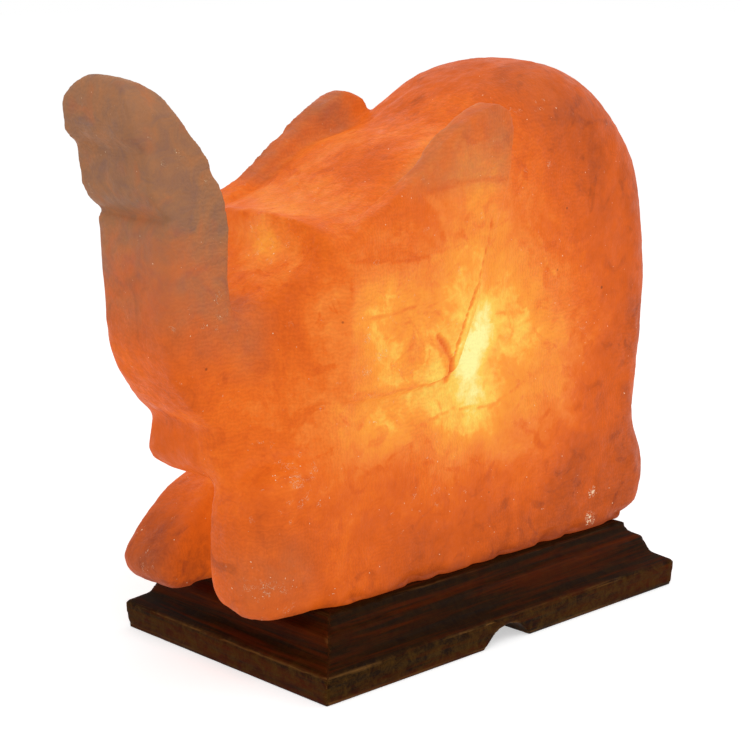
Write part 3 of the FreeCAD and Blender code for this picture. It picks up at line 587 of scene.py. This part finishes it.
def finish_piece(piece: bpy.types.Object, material: bpy.types.Material, node: str,
                 body: str) -> None:
    """Dress a piece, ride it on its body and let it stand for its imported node.

    Args:
        piece: The piece.
        material: Its material.
        node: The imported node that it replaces.
        body: The body that carries it.
    """
    piece.data.materials.clear()
    piece.data.materials.append(material)
    piece.data.polygons.foreach_set("use_smooth", [True] * len(piece.data.polygons))
    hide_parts(node)
    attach(piece, body)


def falloff(distance: np.ndarray, reach: float) -> np.ndarray:
    """A soft share that is 1 at no distance and 0 beyond the reach."""
    near = np.clip(1 - distance / reach, 0, 1)
    return near * near * (3 - 2 * near)


def line_distance(points: np.ndarray, line: list[tuple[float, float]]) -> np.ndarray:
    """Distance in X and Z from each point to a line of (x, z) corners in millimetres."""
    flat = points[:, [0, 2]]
    best = np.full(len(points), np.inf)
    corners = np.array(line) * MM
    for first, second in zip(corners[:-1], corners[1:]):
        run = second - first
        along = np.clip(((flat - first) @ run) / (run @ run), 0, 1)
        best = np.minimum(best, np.linalg.norm(flat - first - along[:, None] * run, axis=1))
    return best


def on_flank(points: np.ndarray, near_side: bool) -> np.ndarray:
    """A share that is 1 on one flank of the carving and 0 in its middle."""
    side = -1 if near_side else 1
    return np.clip(side * points[:, 1] / MM / 8 - 3.6, 0, 1)


# --------------------------------------------------------------------------------------
# Carved salt
# --------------------------------------------------------------------------------------
@dataclass(frozen=True)
class Crack:
    """A groove on one flank, along (x, z) corners in millimetres, with painted shade along it
    that darkens its glow; below 0 it is a painted highlight.
    """

    line: tuple[tuple[float, float], ...]
    width_mm: float
    depth_mm: float
    painted_shading: float = 1.0
    near_side: bool = True


@dataclass(frozen=True)
class Patch:
    """A round patch of the salt, in millimetres, with a strength."""

    centre: tuple[float, float, float]
    radius_mm: float
    strength: float


@dataclass(frozen=True)
class Facet:
    """A flake of one flank with (x, z) corners in millimetres, its painted change of glow
    (brighter below 0) and how milky it is.
    """

    corners: tuple[tuple[float, float], ...]
    depth: float = 0.0
    milk: float = 0.0
    soft_mm: float = 1.5
    near_side: bool = True

    def share(self, points: np.ndarray) -> np.ndarray:
        """How far each point lies in the flake, from 0 to 1."""
        loop = list(self.corners) + [self.corners[0]]
        away = line_distance(points, loop)
        inside = np.zeros(len(points), bool)
        x, z = points[:, 0] / MM, points[:, 2] / MM
        for (x0, z0), (x1, z1) in zip(loop[:-1], loop[1:]):
            if z0 != z1:
                crossing = x0 + (z - z0) * (x1 - x0) / (z1 - z0)
                inside ^= ((z0 > z) != (z1 > z)) & (x < crossing)
        signed = np.where(inside, away, -away) / (self.soft_mm * MM)
        return np.clip(signed * 0.5 + 0.5, 0, 1) * on_flank(points, self.near_side)


@dataclass
class SaltElephant:
    """The carved block, its marks and the way light comes through it."""

    voxel_mm: float = 1.2
    inner_lamp_mm: tuple[float, ...] = (94.0, 108.0, 122.0)
    path_mm: tuple[float, float] = (30.0, 125.0)
    holder_shade: float = 0.65
    far_from: float = 0.65
    clear_head: float = 0.25
    foot_shade: float = 0.28
    chip_mm: float = 5.0
    corner_passes: int = 5
    front_passes: int = 90
    chest_mm: float = -82.0
    cheek_middle_mm: float = 134.0
    rim_mm: float = 36.0
    hem_mm: float = 5.4
    # Painted patches of brighter glow (below 0) and darker glow (above 0).
    zones: list[Patch] = field(default_factory=lambda: [
        Patch((-16, -46, 198), 26, -0.2), Patch((-97, -20, 143), 12, 0.2),
        Patch((-2, -45, 122), 24, 0.07), Patch((22, -45, 104), 18, 0.1),
        Patch((-2, -45, 136), 9, -0.09), Patch((-9, -45, 123), 9, -0.12),
        Patch((-14, -45, 112), 8, -0.05), Patch((-84, -4, 168), 14, -0.1),
        Patch((-34, -12, 200), 16, 0.16), Patch((4, 10, 215), 16, 0.16),
        Patch((-84, 6, 158), 12, 0.08), Patch((-60, -46, 80), 12, 0.06),
        Patch((-48, -46, 138), 12, 0.05), Patch((-2, -44, 68), 16, 0.09),
        Patch((-116, 26, 48), 20, 0.38), Patch((-102, -44, 60), 14, 0.1),
        Patch((80, -45, 112), 18, 0.06), Patch((-84, -8, 180), 14, -0.08),
    ])
    milky: list[Patch] = field(default_factory=lambda: [
        Patch((-8, 40, 224), 14, 0.35), Patch((40, -30, 226), 22, 0.12),
        Patch((-112, -38, 48), 15, 0.32), Patch((-124, 28, 40), 10, 0.12),
    ])
    # Each crack: line, width, depth, painted shade and flank. The raised crack (depth below 0)
    # gets a painted highlight instead of shade.
    cracks: list[Crack] = field(default_factory=lambda: [
        Crack(((0, 177), (-2, 167), (-6, 152), (-13, 140), (-17, 132), (-21, 124),
               (-24, 116)), 0.8, 0.7, 0.5),
        Crack(((-31, 132), (-27, 128), (-23, 121), (-23, 113)), 1.8, 1.2, 0.6),
        Crack(((-79, 117), (-60, 113), (-44, 114), (-33, 112), (-24, 114)), 0.8, 0.3, 0.2),
        Crack(((-70, 145), (-57, 144), (-52, 145), (-44, 146)), 0.7, 0.3, 0.3),
        Crack(((-78, 168), (-54, 165), (-39, 165), (-25, 167)), 1.0, 0.3, 0.3),
        Crack(((-38, 190.5), (-20, 192), (-6, 193), (7, 191.5)), 1.6, 0.3, 0.3),
        Crack(((24, 172), (32, 164), (36, 154), (43, 147)), 0.9, -0.7, -0.3),
        Crack(((-40, 96), (-20, 100), (4, 97), (22, 104)), 1.0, 0.3, 0.2),
        Crack(((30, 200), (22, 170), (30, 140), (18, 112)), 1.2, 1.1, 0.8, False),
        Crack(((-60, 150), (-34, 156), (-20, 146), (2, 150)), 0.9, 0.6, 0.6, False),
        Crack(((60, 96), (74, 80), (70, 62), (84, 50)), 1.4, 0.8, 0.5, False),
    ])
    facets: list[Facet] = field(default_factory=lambda: [
        Facet(((10, 177), (24, 172), (43, 147), (38, 124), (21, 97), (-9, 102), (-14, 115),
               (-5, 133), (1, 149), (1, 170)), -0.02, soft_mm=4.0),
        Facet(((-79, 116), (-24, 114), (-14, 132), (-4, 149), (0, 169), (-39, 164),
               (-76, 167)), -0.05),
        Facet(((-54, 197), (-34, 218), (-14, 224), (5, 222), (12, 209), (10, 191),
               (1, 191), (-42, 190)), -0.04, 0.3, soft_mm=5.0),
        Facet(((-8, 224), (5, 224), (13, 209), (7, 204), (-6, 210)), 0.0, 0.25, soft_mm=6.0),
        # The crescent under the ear's edge: painted shadow of the ear's edge, drawn as a darker
        # glow.
        Facet(((-31, 132), (-27, 130), (-22, 121), (-22, 114), (-24, 112), (-29, 121)),
              0.1),
        Facet(((-10, 170), (24, 176), (40, 150), (30, 118), (-4, 108), (-22, 134)), -0.06,
              soft_mm=3.0, near_side=False),
        Facet(((-60, 190), (-30, 214), (-4, 220), (6, 206), (2, 188), (-40, 184)), 0.02,
              0.3, soft_mm=3.0, near_side=False),
    ])
    frost: list[Patch] = field(default_factory=lambda: [
        Patch((17, -42, 223), 8, 2.0), Patch((24, -42, 221), 5, 2.0),
        Patch((36, -42, 218), 4, 1.4), Patch((38, -45, 194), 4, 1.4),
        Patch((66, -45, 122), 7, 1.0), Patch((35, -45, 152), 4, 1.2),
        Patch((-103, -40, 90), 8, 1.6), Patch((-98, -40, 78), 9, 1.2),
        Patch((-143, -22, 210), 4, 1.6), Patch((-120, -22, 152), 8, 1.0),
        Patch((-126, -40, 46), 7, 1.6), Patch((-112, -44, 42), 9, 1.2),
        Patch((70, -44, 47), 2.2, 7.0), Patch((69, -44, 35), 2.8, 7.0),
        Patch((-128, 26, 44), 9, 0.9), Patch((-60, -46, 130), 16, 0.6),
        Patch((-30, -46, 70), 18, 0.5), Patch((-84, -8, 168), 12, 0.7),
        Patch((30, 42, 210), 10, 1.4), Patch((-70, 44, 90), 12, 1.2),
    ])

    def build(self) -> bpy.types.Object:
        """Carve the piece and dress it.

        Returns:
            The finished piece.
        """
        piece = dense_copy("salt_elephant", "carved_salt", self.voxel_mm)
        skin = Skin(piece.data)
        self.soften(skin)
        crack_shading = self.carve_cracks(skin)
        self.roughen(skin)
        self.keep_in_box(skin)
        skin.write()
        # The cracks' painted shade, kept for the shader.
        skin.store("crack_shading", crack_shading)
        skin.store("frost", self.patched(skin, self.frost))
        skin.store("pale", self.pale(skin))
        skin.store("depth", self.depth(skin))
        finish_piece(piece, RockSalt().material(), "salt_elephant", "lamp")
        LOG.info("carved salt: %d points", len(skin.points))
        return piece

    def soften(self, skin: Skin) -> None:
        """File the sawn corners round, most at feet and cheeks, and chip them here and there."""
        points = skin.points / MM
        edge = np.clip(skin.sharpness() / (0.25 * MM), 0, 1)
        chips = np.array([max(0.0, noise.noise(Vector(p) / 11) - 0.12) for p in points])
        skin.points -= skin.normals() * (edge * chips * self.chip_mm * MM)[:, None]
        front = np.clip((self.chest_mm - points[:, 0]) / 10, 0, 1)
        near = np.clip((-6 - points[:, 1]) / 6, 0, 1)
        feet = front * np.clip((80 + 32 * near - points[:, 2]) / 10, 0, 1)
        ears = np.clip((np.abs(points[:, 1]) - 44) / 2, 0, 1)
        cheeks = np.clip((self.chest_mm + 4 - points[:, 0]) / 8, 0, 1) * np.clip(
            1.6 - np.abs(points[:, 2] - self.cheek_middle_mm) / 30, 0, 1)
        skin.smooth(self.corner_passes, 1.0 - 0.6 * ears)
        skin.smooth(self.front_passes, np.maximum(feet, cheeks))

    def carve_cracks(self, skin: Skin) -> np.ndarray:
        """Cut the cracks in and paint their shade.

        Args:
            skin: The salt's points.

        Returns:
            How much painted shade each point gets from lying in a crack, as a darker glow; below
            0 a painted highlight.
        """
        crack_shading = np.zeros(len(skin.points))
        normals = skin.normals()
        for crack in self.cracks:
            facing = on_flank(skin.points, crack.near_side)
            wander = np.array([noise.noise(Vector(p) / (3 * MM)) for p in skin.points])
            distance = line_distance(skin.points, list(crack.line)) + wander * 0.5 * MM
            share = falloff(np.abs(distance), crack.width_mm * MM) * facing
            skin.points -= normals * (share * crack.depth_mm * MM)[:, None]
            crack_shading += share * crack.painted_shading
        return crack_shading

    def roughen(self, skin: Skin) -> None:
        """Give the faces their lumps, flakes and the ragged lower edge."""
        normals = skin.normals()
        heights = np.empty(len(skin.points))
        for index, place in enumerate(skin.points / MM):
            spot = Vector(place)
            lumps = noise.noise(spot / 34) * 1.1 + noise.noise(spot / 13) * 0.5
            cell = noise.cell_vector(spot / 9)
            flakes = (cell.x - 0.5) * 0.22 + noise.noise(spot / 4) * 0.18
            ragged = max(0.0, self.rim_mm - place[2]) / 6.5
            hem = max(0.0, noise.noise(spot / 12) + 0.2) * self.hem_mm * ragged
            heights[index] = lumps * 0.6 + flakes - hem - 0.35
        radius = np.hypot(skin.points[:, 0], skin.points[:, 1])
        outside = np.clip((radius / MM - 22) / 3, 0, 1)
        flat_foot = np.clip((skin.points[:, 2] / MM - 29.6) / 0.8, 0, 1)
        skin.points += normals * (heights * outside * flat_foot * MM)[:, None]

    def keep_in_box(self, skin: Skin) -> None:
        """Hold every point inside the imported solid's own box."""
        low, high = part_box("salt_elephant")
        skin.points = np.clip(skin.points, np.array(low), np.array(high))

    def depth(self, skin: Skin) -> np.ndarray:
        """How far from the bulb each point seems, as a share.

        The holder shades what lies low, far salt darkens more slowly than near salt, and
        the stone is clearer towards the head.

        Args:
            skin: The salt's points.

        Returns:
            The depth's share, 0 at the hot spot and about 1 at its darkest.
        """
        low, high = self.path_mm
        share = (self.light_path(skin) - low) / (high - low)
        share += self.holder_shade * np.clip(100 - skin.points[:, 2] / MM, 0, None) / 100
        far = self.far_from
        share = np.where(share > far, far + (share - far) * 0.3, share)
        head = np.clip((-30 - skin.points[:, 0] / MM) / 40, 0, 1)
        share -= self.clear_head * head * head * (3 - 2 * head)
        share += self.foot_shade * np.clip((35 - skin.points[:, 2] / MM) / 5, 0, 1)
        share += sum(facet.depth * facet.share(skin.points) for facet in self.facets)
        return share + self.patched(skin, self.zones)

    def pale(self, skin: Skin) -> np.ndarray:
        """How milky each point is: the trunk's upper half, and the zones on the ears."""
        places = skin.points / MM
        boundary = 150 + 0.35 * (-115 - places[:, 0])
        raised = np.clip((places[:, 2] - boundary) / 60 + 0.5, 0, 1)
        trunk = np.clip((-100 - places[:, 0]) / 10, 0, 1)
        flakes = sum(facet.milk * facet.share(skin.points) for facet in self.facets)
        return raised * trunk + flakes + self.patched(skin, self.milky)

    @staticmethod
    def patched(skin: Skin, patches: list[Patch]) -> np.ndarray:
        """The sum of soft round patches at each point.

        Args:
            skin: The salt's points.
            patches: The patches.

        Returns:
            The patches' summed strength.
        """
        total = np.zeros(len(skin.points))
        for patch in patches:
            away = np.linalg.norm(skin.points - np.array(patch.centre) * MM, axis=1)
            total += falloff(away, patch.radius_mm * MM * 1.8) * patch.strength
        return total

    def light_path(self, skin: Skin) -> np.ndarray:
        """How much salt the light crosses from the bulb to each point, in millimetres.

        Args:
            skin: The salt's points.

        Returns:
            The crossed length, with a share of the air gaps for the light that spreads.
        """
        faces = [tuple(face.vertices) for face in skin.mesh.polygons]
        tree = BVHTree.FromPolygons([Vector(p) for p in skin.points], faces)
        inward = skin.points - skin.normals() * 0.3 * MM
        total = np.zeros(len(skin.points))
        for height in self.inner_lamp_mm:
            lamp = Vector((0, 0, height * MM))
            for index, start in enumerate(inward):
                total[index] += self.crossed(tree, Vector(start), lamp)
        total /= len(self.inner_lamp_mm) * MM
        for _ in range(4):
            total = 0.5 * total + 0.5 * skin.mean(total)
        return total

    @staticmethod
    def crossed(tree: BVHTree, start: Vector, lamp: Vector) -> float:
        """The length of salt from a point to the lamp, in metres, air counted by a third."""
        toward = lamp - start
        left = toward.length
        toward.normalize()
        inside = True
        length = 0.0
        for _ in range(6):
            hit = tree.ray_cast(start, toward, left)[0]
            run = left if hit is None else (hit - start).length
            length += run if inside else run * 0.33
            if hit is None:
                break
            left -= run + 0.05 * MM
            if left <= 0:
                break
            start = hit + toward * 0.05 * MM
            inside = not inside
        return length


# --------------------------------------------------------------------------------------
# Wooden base
# --------------------------------------------------------------------------------------
@dataclass
class WoodenBase:
    """The moulded board, worn along its edges."""

    voxel_mm: float = 1.0
    half_length_mm: float = 106.25
    half_width_mm: float = 63.5
    plinth_mm: float = 11.6

    def build(self) -> bpy.types.Object:
        """Wear the board and dress it.

        Returns:
            The finished piece.
        """
        piece = dense_copy("wooden_base", "moulded_base", self.voxel_mm)
        skin = Skin(piece.data)
        edge = np.clip(skin.sharpness() / (0.16 * MM), 0, 1)
        skin.smooth(2)
        self.wear(skin, edge)
        low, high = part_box("wooden_base")
        skin.points = np.clip(skin.points, np.array(low), np.array(high))
        skin.write()
        edge = 0.5 * edge + 0.5 * skin.mean(edge)
        height = skin.points[:, 2] / MM
        on_plinth = np.clip((self.plinth_mm + 1 - height) / 1.5, 0, 1)
        skin.store("plinth", on_plinth * np.clip(height - 0.5, 0, 1))
        skin.store("wear", np.clip(edge * 2.4 - 1.2, 0, 1) * (0.35 + 0.65 * on_plinth))
        skin.store("mitre", self.mitred(skin))
        finish_piece(piece, StainedWood().material(), "wooden_base", "lamp")
        LOG.info("moulded base: %d points", len(skin.points))
        return piece

    def wear(self, skin: Skin, edge: np.ndarray) -> None:
        """Dent the edges and let the faces waver as planed wood does."""
        heights = np.empty(len(skin.points))
        for index, place in enumerate(skin.points / MM):
            spot = Vector(place)
            dents = max(0.0, noise.noise(spot / 6) - 0.1) * 1.2 * edge[index]
            heights[index] = noise.noise(spot / 30) * 0.12 - dents - 0.1
        radius = np.hypot(skin.points[:, 0], skin.points[:, 1]) / MM
        outside = np.clip((radius - 30) / 4, 0, 1)
        seat = np.clip(skin.points[:, 2] / MM / 1.5, 0, 1)
        skin.points += skin.normals() * (heights * outside * seat * MM)[:, None]

    def mitred(self, skin: Skin) -> np.ndarray:
        """1 on the two short sides of the moulding, where the grain runs across."""
        past_x = self.half_length_mm - np.abs(skin.points[:, 0]) / MM
        past_y = self.half_width_mm - np.abs(skin.points[:, 1]) / MM
        return ((past_x < past_y) & (past_x < 19)).astype(float)


# --------------------------------------------------------------------------------------
# Holder, clip and bulb
# --------------------------------------------------------------------------------------
class ThreadSide(Enum):
    """Which faces of a threaded tube carry the thread."""

    OUTSIDE = "outside"
    BOTH = "both"


@dataclass(frozen=True)
class ThreadedTube:
    """A round tube with a thread, from real sizes in millimetres."""

    name: str
    outer_mm: float
    inner_mm: float
    floor_mm: float
    top_mm: float
    thread_mm: tuple[float, float]
    pitch_mm: float
    depth_mm: float
    side: ThreadSide
    lip_mm: float = 0.0

    def wave(self, height: float, turn: float) -> float:
        """How deep the thread is at a height and a share of a turn, in millimetres."""
        low, high = self.thread_mm
        fade = min(1.0, max(0.0, height - low), max(0.0, high - height))
        phase = height / self.pitch_mm - turn
        return self.depth_mm * fade * (0.5 - 0.5 * math.cos(2 * math.pi * phase))

    def build(self) -> bpy.types.Object:
        """Build the tube as one closed mesh.

        Returns:
            The tube as an object.
        """
        around = 72
        rows = max(8, int((self.top_mm - self.floor_mm) / (self.pitch_mm / 10)))
        heights = [self.floor_mm + (self.top_mm - self.floor_mm) * row / rows
                   for row in range(rows + 1)]
        mesh = bmesh.new()
        loops = []
        for outward, levels in ((True, heights), (False, heights[::-1])):
            for height in levels:
                loops.append([self.corner(mesh, outward, height, step / around)
                              for step in range(around)])
        if self.lip_mm:
            lip = self.inner_mm - self.lip_mm
            for height in (self.floor_mm + 0.4, self.floor_mm):
                loops.append([mesh.verts.new((
                    lip * MM * math.cos(2 * math.pi * step / around),
                    lip * MM * math.sin(2 * math.pi * step / around), height * MM))
                    for step in range(around)])
        for first, second in zip(loops, loops[1:] + loops[:1]):
            for step in range(around):
                follower = (step + 1) % around
                mesh.faces.new((first[step], first[follower], second[follower], second[step]))
        bmesh.ops.recalc_face_normals(mesh, faces=mesh.faces)
        data = bpy.data.meshes.new(self.name)
        mesh.to_mesh(data)
        mesh.free()
        piece = bpy.data.objects.new(self.name, data)
        bpy.context.scene.collection.objects.link(piece)
        return piece

    def corner(self, mesh: bmesh.types.BMesh, outward: bool, height: float,
               turn: float) -> bmesh.types.BMVert:
        """Add one point of the tube's wall."""
        radius = self.outer_mm if outward else self.inner_mm
        if outward or self.side is ThreadSide.BOTH:
            radius -= self.wave(height, turn)
        if not outward and self.lip_mm and height <= self.floor_mm + 1e-6:
            height = self.floor_mm + 0.4
        angle = 2 * math.pi * turn
        return mesh.verts.new((radius * MM * math.cos(angle), radius * MM * math.sin(angle),
                               height * MM))


@dataclass
class BulbHolder:
    """The holder on its spring clip: finishes for its nodes, and threads."""

    def build(self) -> None:
        """Dress the holder's pieces."""
        zinc = PlainFinish("steel_zinc_plated_turned", "#B9BBBC", "#8E9092", 1.0,
                           (0.28, 0.42), Grain.TURNED, 0.5)
        blued = PlainFinish("spring_steel_rolled_and_blued", "#6B6F78", "#3F434C", 1.0,
                            (0.25, 0.4), Grain.ROLLED, 0.4)
        plastic = PlainFinish("urea_plastic_moulded_ivory", "#E9E4D6", "#D9D2C0", 0.0,
                              (0.3, 0.42), Grain.MOTTLED, 1.5, 0.006)
        steatite = PlainFinish("steatite_pressed_and_fired", "#E2DED2", "#CBC5B5", 0.0,
                               (0.55, 0.75), Grain.MOTTLED, 0.6, 0.02)
        brass = PlainFinish("brass_sheet_rolled", "#D9B45F", "#A9812F", 1.0,
                            (0.25, 0.4), Grain.ROLLED, 0.5)
        dress = {
            "clip_plate": zinc, "lock_washer": zinc, "nipple_nut": zinc,
            "wing_spring": blued, "holder_cap": plastic, "holder_sleeve": plastic,
            "holder_core": steatite, "centre_contact": brass, "contact_rivet": brass,
            "terminal_screws": brass,
        }
        materials = {finish: finish.material() for finish in set(dress.values())}
        for node, finish in dress.items():
            dress_node(node, materials[finish])
        nipple = ThreadedTube("threaded_nipple", 5.0, 3.5, 5.8, 16.8, (5.8, 16.8), 1.0, 0.3,
                              ThreadSide.OUTSIDE).build()
        finish_piece(nipple, materials[zinc], "hollow_nipple", "holder")
        shell = ThreadedTube("threaded_shell", 7.38, 6.98, 30.0, 56.0, (45.0, 55.5), 2.822,
                             0.4, ThreadSide.BOTH, lip_mm=1.5).build()
        finish_piece(shell, materials[brass], "screw_shell", "holder")
        LOG.info("bulb holder: %d nodes dressed, 2 threaded tubes", len(dress))


@dataclass
class CandleBulb:
    """The bulb: glass, cap with its thread, mount and filament."""

    def build(self) -> None:
        """Dress the bulb's pieces."""
        cap_metal = PlainFinish("aluminium_sheet_drawn", "#D6D6D2", "#A8A8A4", 1.0,
                                (0.22, 0.35), Grain.TURNED, 0.4)
        vitrite = PlainFinish("black_cap_glass_pressed", "#15151A", "#08080B", 0.0,
                              (0.06, 0.14), Grain.MOTTLED, 1.0, 0.01)
        solder = PlainFinish("tin_solder_flowed", "#9C9C99", "#767673", 1.0, (0.3, 0.5),
                             Grain.MOTTLED, 0.9, 0.04)
        nickel = PlainFinish("nickel_wire_drawn", "#C2BBAF", "#8F887C", 1.0, (0.2, 0.35),
                             Grain.TURNED, 0.3)
        dress_node("bulb_glass", BlownGlass("soda_lime_glass_blown", painted_glow=0.9).material())
        dress_node("bulb_stem", BlownGlass("lead_glass_pressed", "#EEF4F0").material())
        dress_node("bulb_insulator", vitrite.material())
        dress_node("bulb_eyelet", solder.material())
        dress_node("bulb_leads", nickel.material())
        dress_node("bulb_filament", GlowingTungsten().material())
        cap = ThreadedTube("threaded_bulb_cap", 6.9, 6.6, 42.8, 62.3, (44.0, 56.0), 2.822,
                           0.4, ThreadSide.BOTH, lip_mm=2.0).build()
        finish_piece(cap, cap_metal.material(), "bulb_cap", "bulb")
        LOG.info("candle bulb: 6 nodes dressed, 1 threaded cap")


@dataclass
class Fasteners:
    """What holds the salt to the base, seen from below only."""

    def build(self) -> None:
        """Dress the screws, washers and plugs."""
        zinc = PlainFinish("steel_screw_zinc_plated", "#B4B6B4", "#84868A", 1.0,
                           (0.3, 0.45), Grain.TURNED, 0.4)
        nylon = PlainFinish("nylon_moulded_natural", "#E4E0D2", "#D2CCBA", 0.0,
                            (0.45, 0.6), Grain.MOTTLED, 1.2, 0.01)
        screw = zinc.material()
        dress_node("base_screws", screw)
        dress_node("base_washers", screw)
        dress_node("salt_plugs", nylon.material())
        LOG.info("fasteners: 3 nodes dressed")


def dress_node(node: str, material: bpy.types.Material) -> None:
    """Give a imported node, whose shape is right as it is, its material."""
    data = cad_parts[node].data
    data.materials.clear()
    data.materials.append(material)


# --------------------------------------------------------------------------------------
# Studio
# --------------------------------------------------------------------------------------
@dataclass
class Studio:
    """White floor, soft light and the photograph's camera."""

    focal_px: float = 2058.12
    width_px: int = 743
    pitch_deg: float = 12.961
    yaw_deg: float = 46.268
    camera_mm: tuple[float, float, float] = (-604.208, -608.542, 302.534)

    def build(self) -> None:
        """Set up floor, world, lights and camera."""
        bpy.context.scene.view_settings.view_transform = "Standard"
        self.floor()
        self.world()
        self.light("key", (-0.9, -0.9, 1.5), 0.9, 9.0)
        self.light("fill", (1.1, -0.8, 0.9), 1.2, 4.0)
        self.camera()
        LOG.info("studio ready")

    def camera(self) -> None:
        """Stand the camera where the photograph was taken."""
        pitch, yaw = math.radians(self.pitch_deg), math.radians(self.yaw_deg)
        forward = Vector((math.cos(pitch) * math.cos(yaw), math.cos(pitch) * math.sin(yaw),
                          -math.sin(pitch)))
        right = Vector((math.sin(yaw), -math.cos(yaw), 0))
        up = right.cross(forward)
        turn = Matrix((right, up, -forward)).transposed().to_4x4()
        data = bpy.data.cameras.new("camera")
        data.sensor_width = 36.0
        data.lens = data.sensor_width * self.focal_px / self.width_px
        data.clip_end = 20.0
        camera = bpy.data.objects.new("camera", data)
        camera.matrix_world = Matrix.Translation(Vector(self.camera_mm) * MM) @ turn
        bpy.context.scene.collection.objects.link(camera)
        bpy.context.scene.camera = camera

    def light(self, name: str, place: tuple[float, float, float], width: float,
              power: float) -> None:
        """Add a square soft light aimed at the lamp.

        Args:
            name: The light's name.
            place: Where it stands, in metres.
            width: Its side, in metres.
            power: Its power in watts.
        """
        data = bpy.data.lights.new(name, "AREA")
        data.size = width
        data.energy = power
        light = bpy.data.objects.new(name, data)
        light.location = place
        aim = Vector((0, 0, 0.12)) - Vector(place)
        light.rotation_euler = aim.to_track_quat("-Z", "Y").to_euler()
        bpy.context.scene.collection.objects.link(light)

    def floor(self) -> None:
        """Lay the white floor, which shows white but keeps the lamp's shadow."""
        mesh = bpy.data.meshes.new("floor")
        reach = 4.0
        mesh.from_pydata([(-reach, -reach, 0), (reach, -reach, 0), (reach, reach, 0),
                          (-reach, reach, 0)], [], [(0, 1, 2, 3)])
        floor = bpy.data.objects.new("floor", mesh)
        bpy.context.scene.collection.objects.link(floor)
        material, tree, shader = blank_material("paper_floor_white")
        shader.inputs["Base Color"].default_value = linear("#E6E6E6")
        shader.inputs["Roughness"].default_value = 0.9
        shader.inputs["Specular IOR Level"].default_value = 0.0
        shader.inputs["Emission Color"].default_value = linear("#FFFFFF")
        tree.links.new(scaled(tree, seen(tree), 0.0, 1.0, 0.0, 0.52),
                       shader.inputs["Emission Strength"])
        mesh.materials.append(material)

    def world(self) -> None:
        """Surround the lamp with plain light, which the camera sees as white."""
        world = bpy.data.worlds.new("studio_white")
        world.use_nodes = True
        tree = world.node_tree
        tree.nodes.clear()
        strength = scaled(tree, seen(tree), 0.0, 1.0, 0.62, 1.0)
        back = add_node(tree, "Background", {"Color": linear("#FFFFFF"),
                                             "Strength": strength})
        add_node(tree, "OutputWorld", {"Surface": back.outputs[0]})
        bpy.context.scene.world = world


def seen(tree: bpy.types.NodeTree) -> bpy.types.NodeSocket:
    """1 for what the camera sees, straight, in a gloss or through glass."""
    path = add_node(tree, "LightPath")
    total = maths(tree, "ADD", path.outputs["Is Camera Ray"], path.outputs["Is Glossy Ray"])
    total = maths(tree, "ADD", total, path.outputs["Is Transmission Ray"])
    return maths(tree, "MINIMUM", total, 1.0)


def main() -> None:
    """Build the studio, then each sub-assembly in order."""
    logging.basicConfig(level=logging.INFO, format="%(name)s: %(message)s")
    Studio().build()
    WoodenBase().build()
    SaltElephant().build()
    Fasteners().build()
    BulbHolder().build()
    CandleBulb().build()


if __name__ == "__main__":
    main()
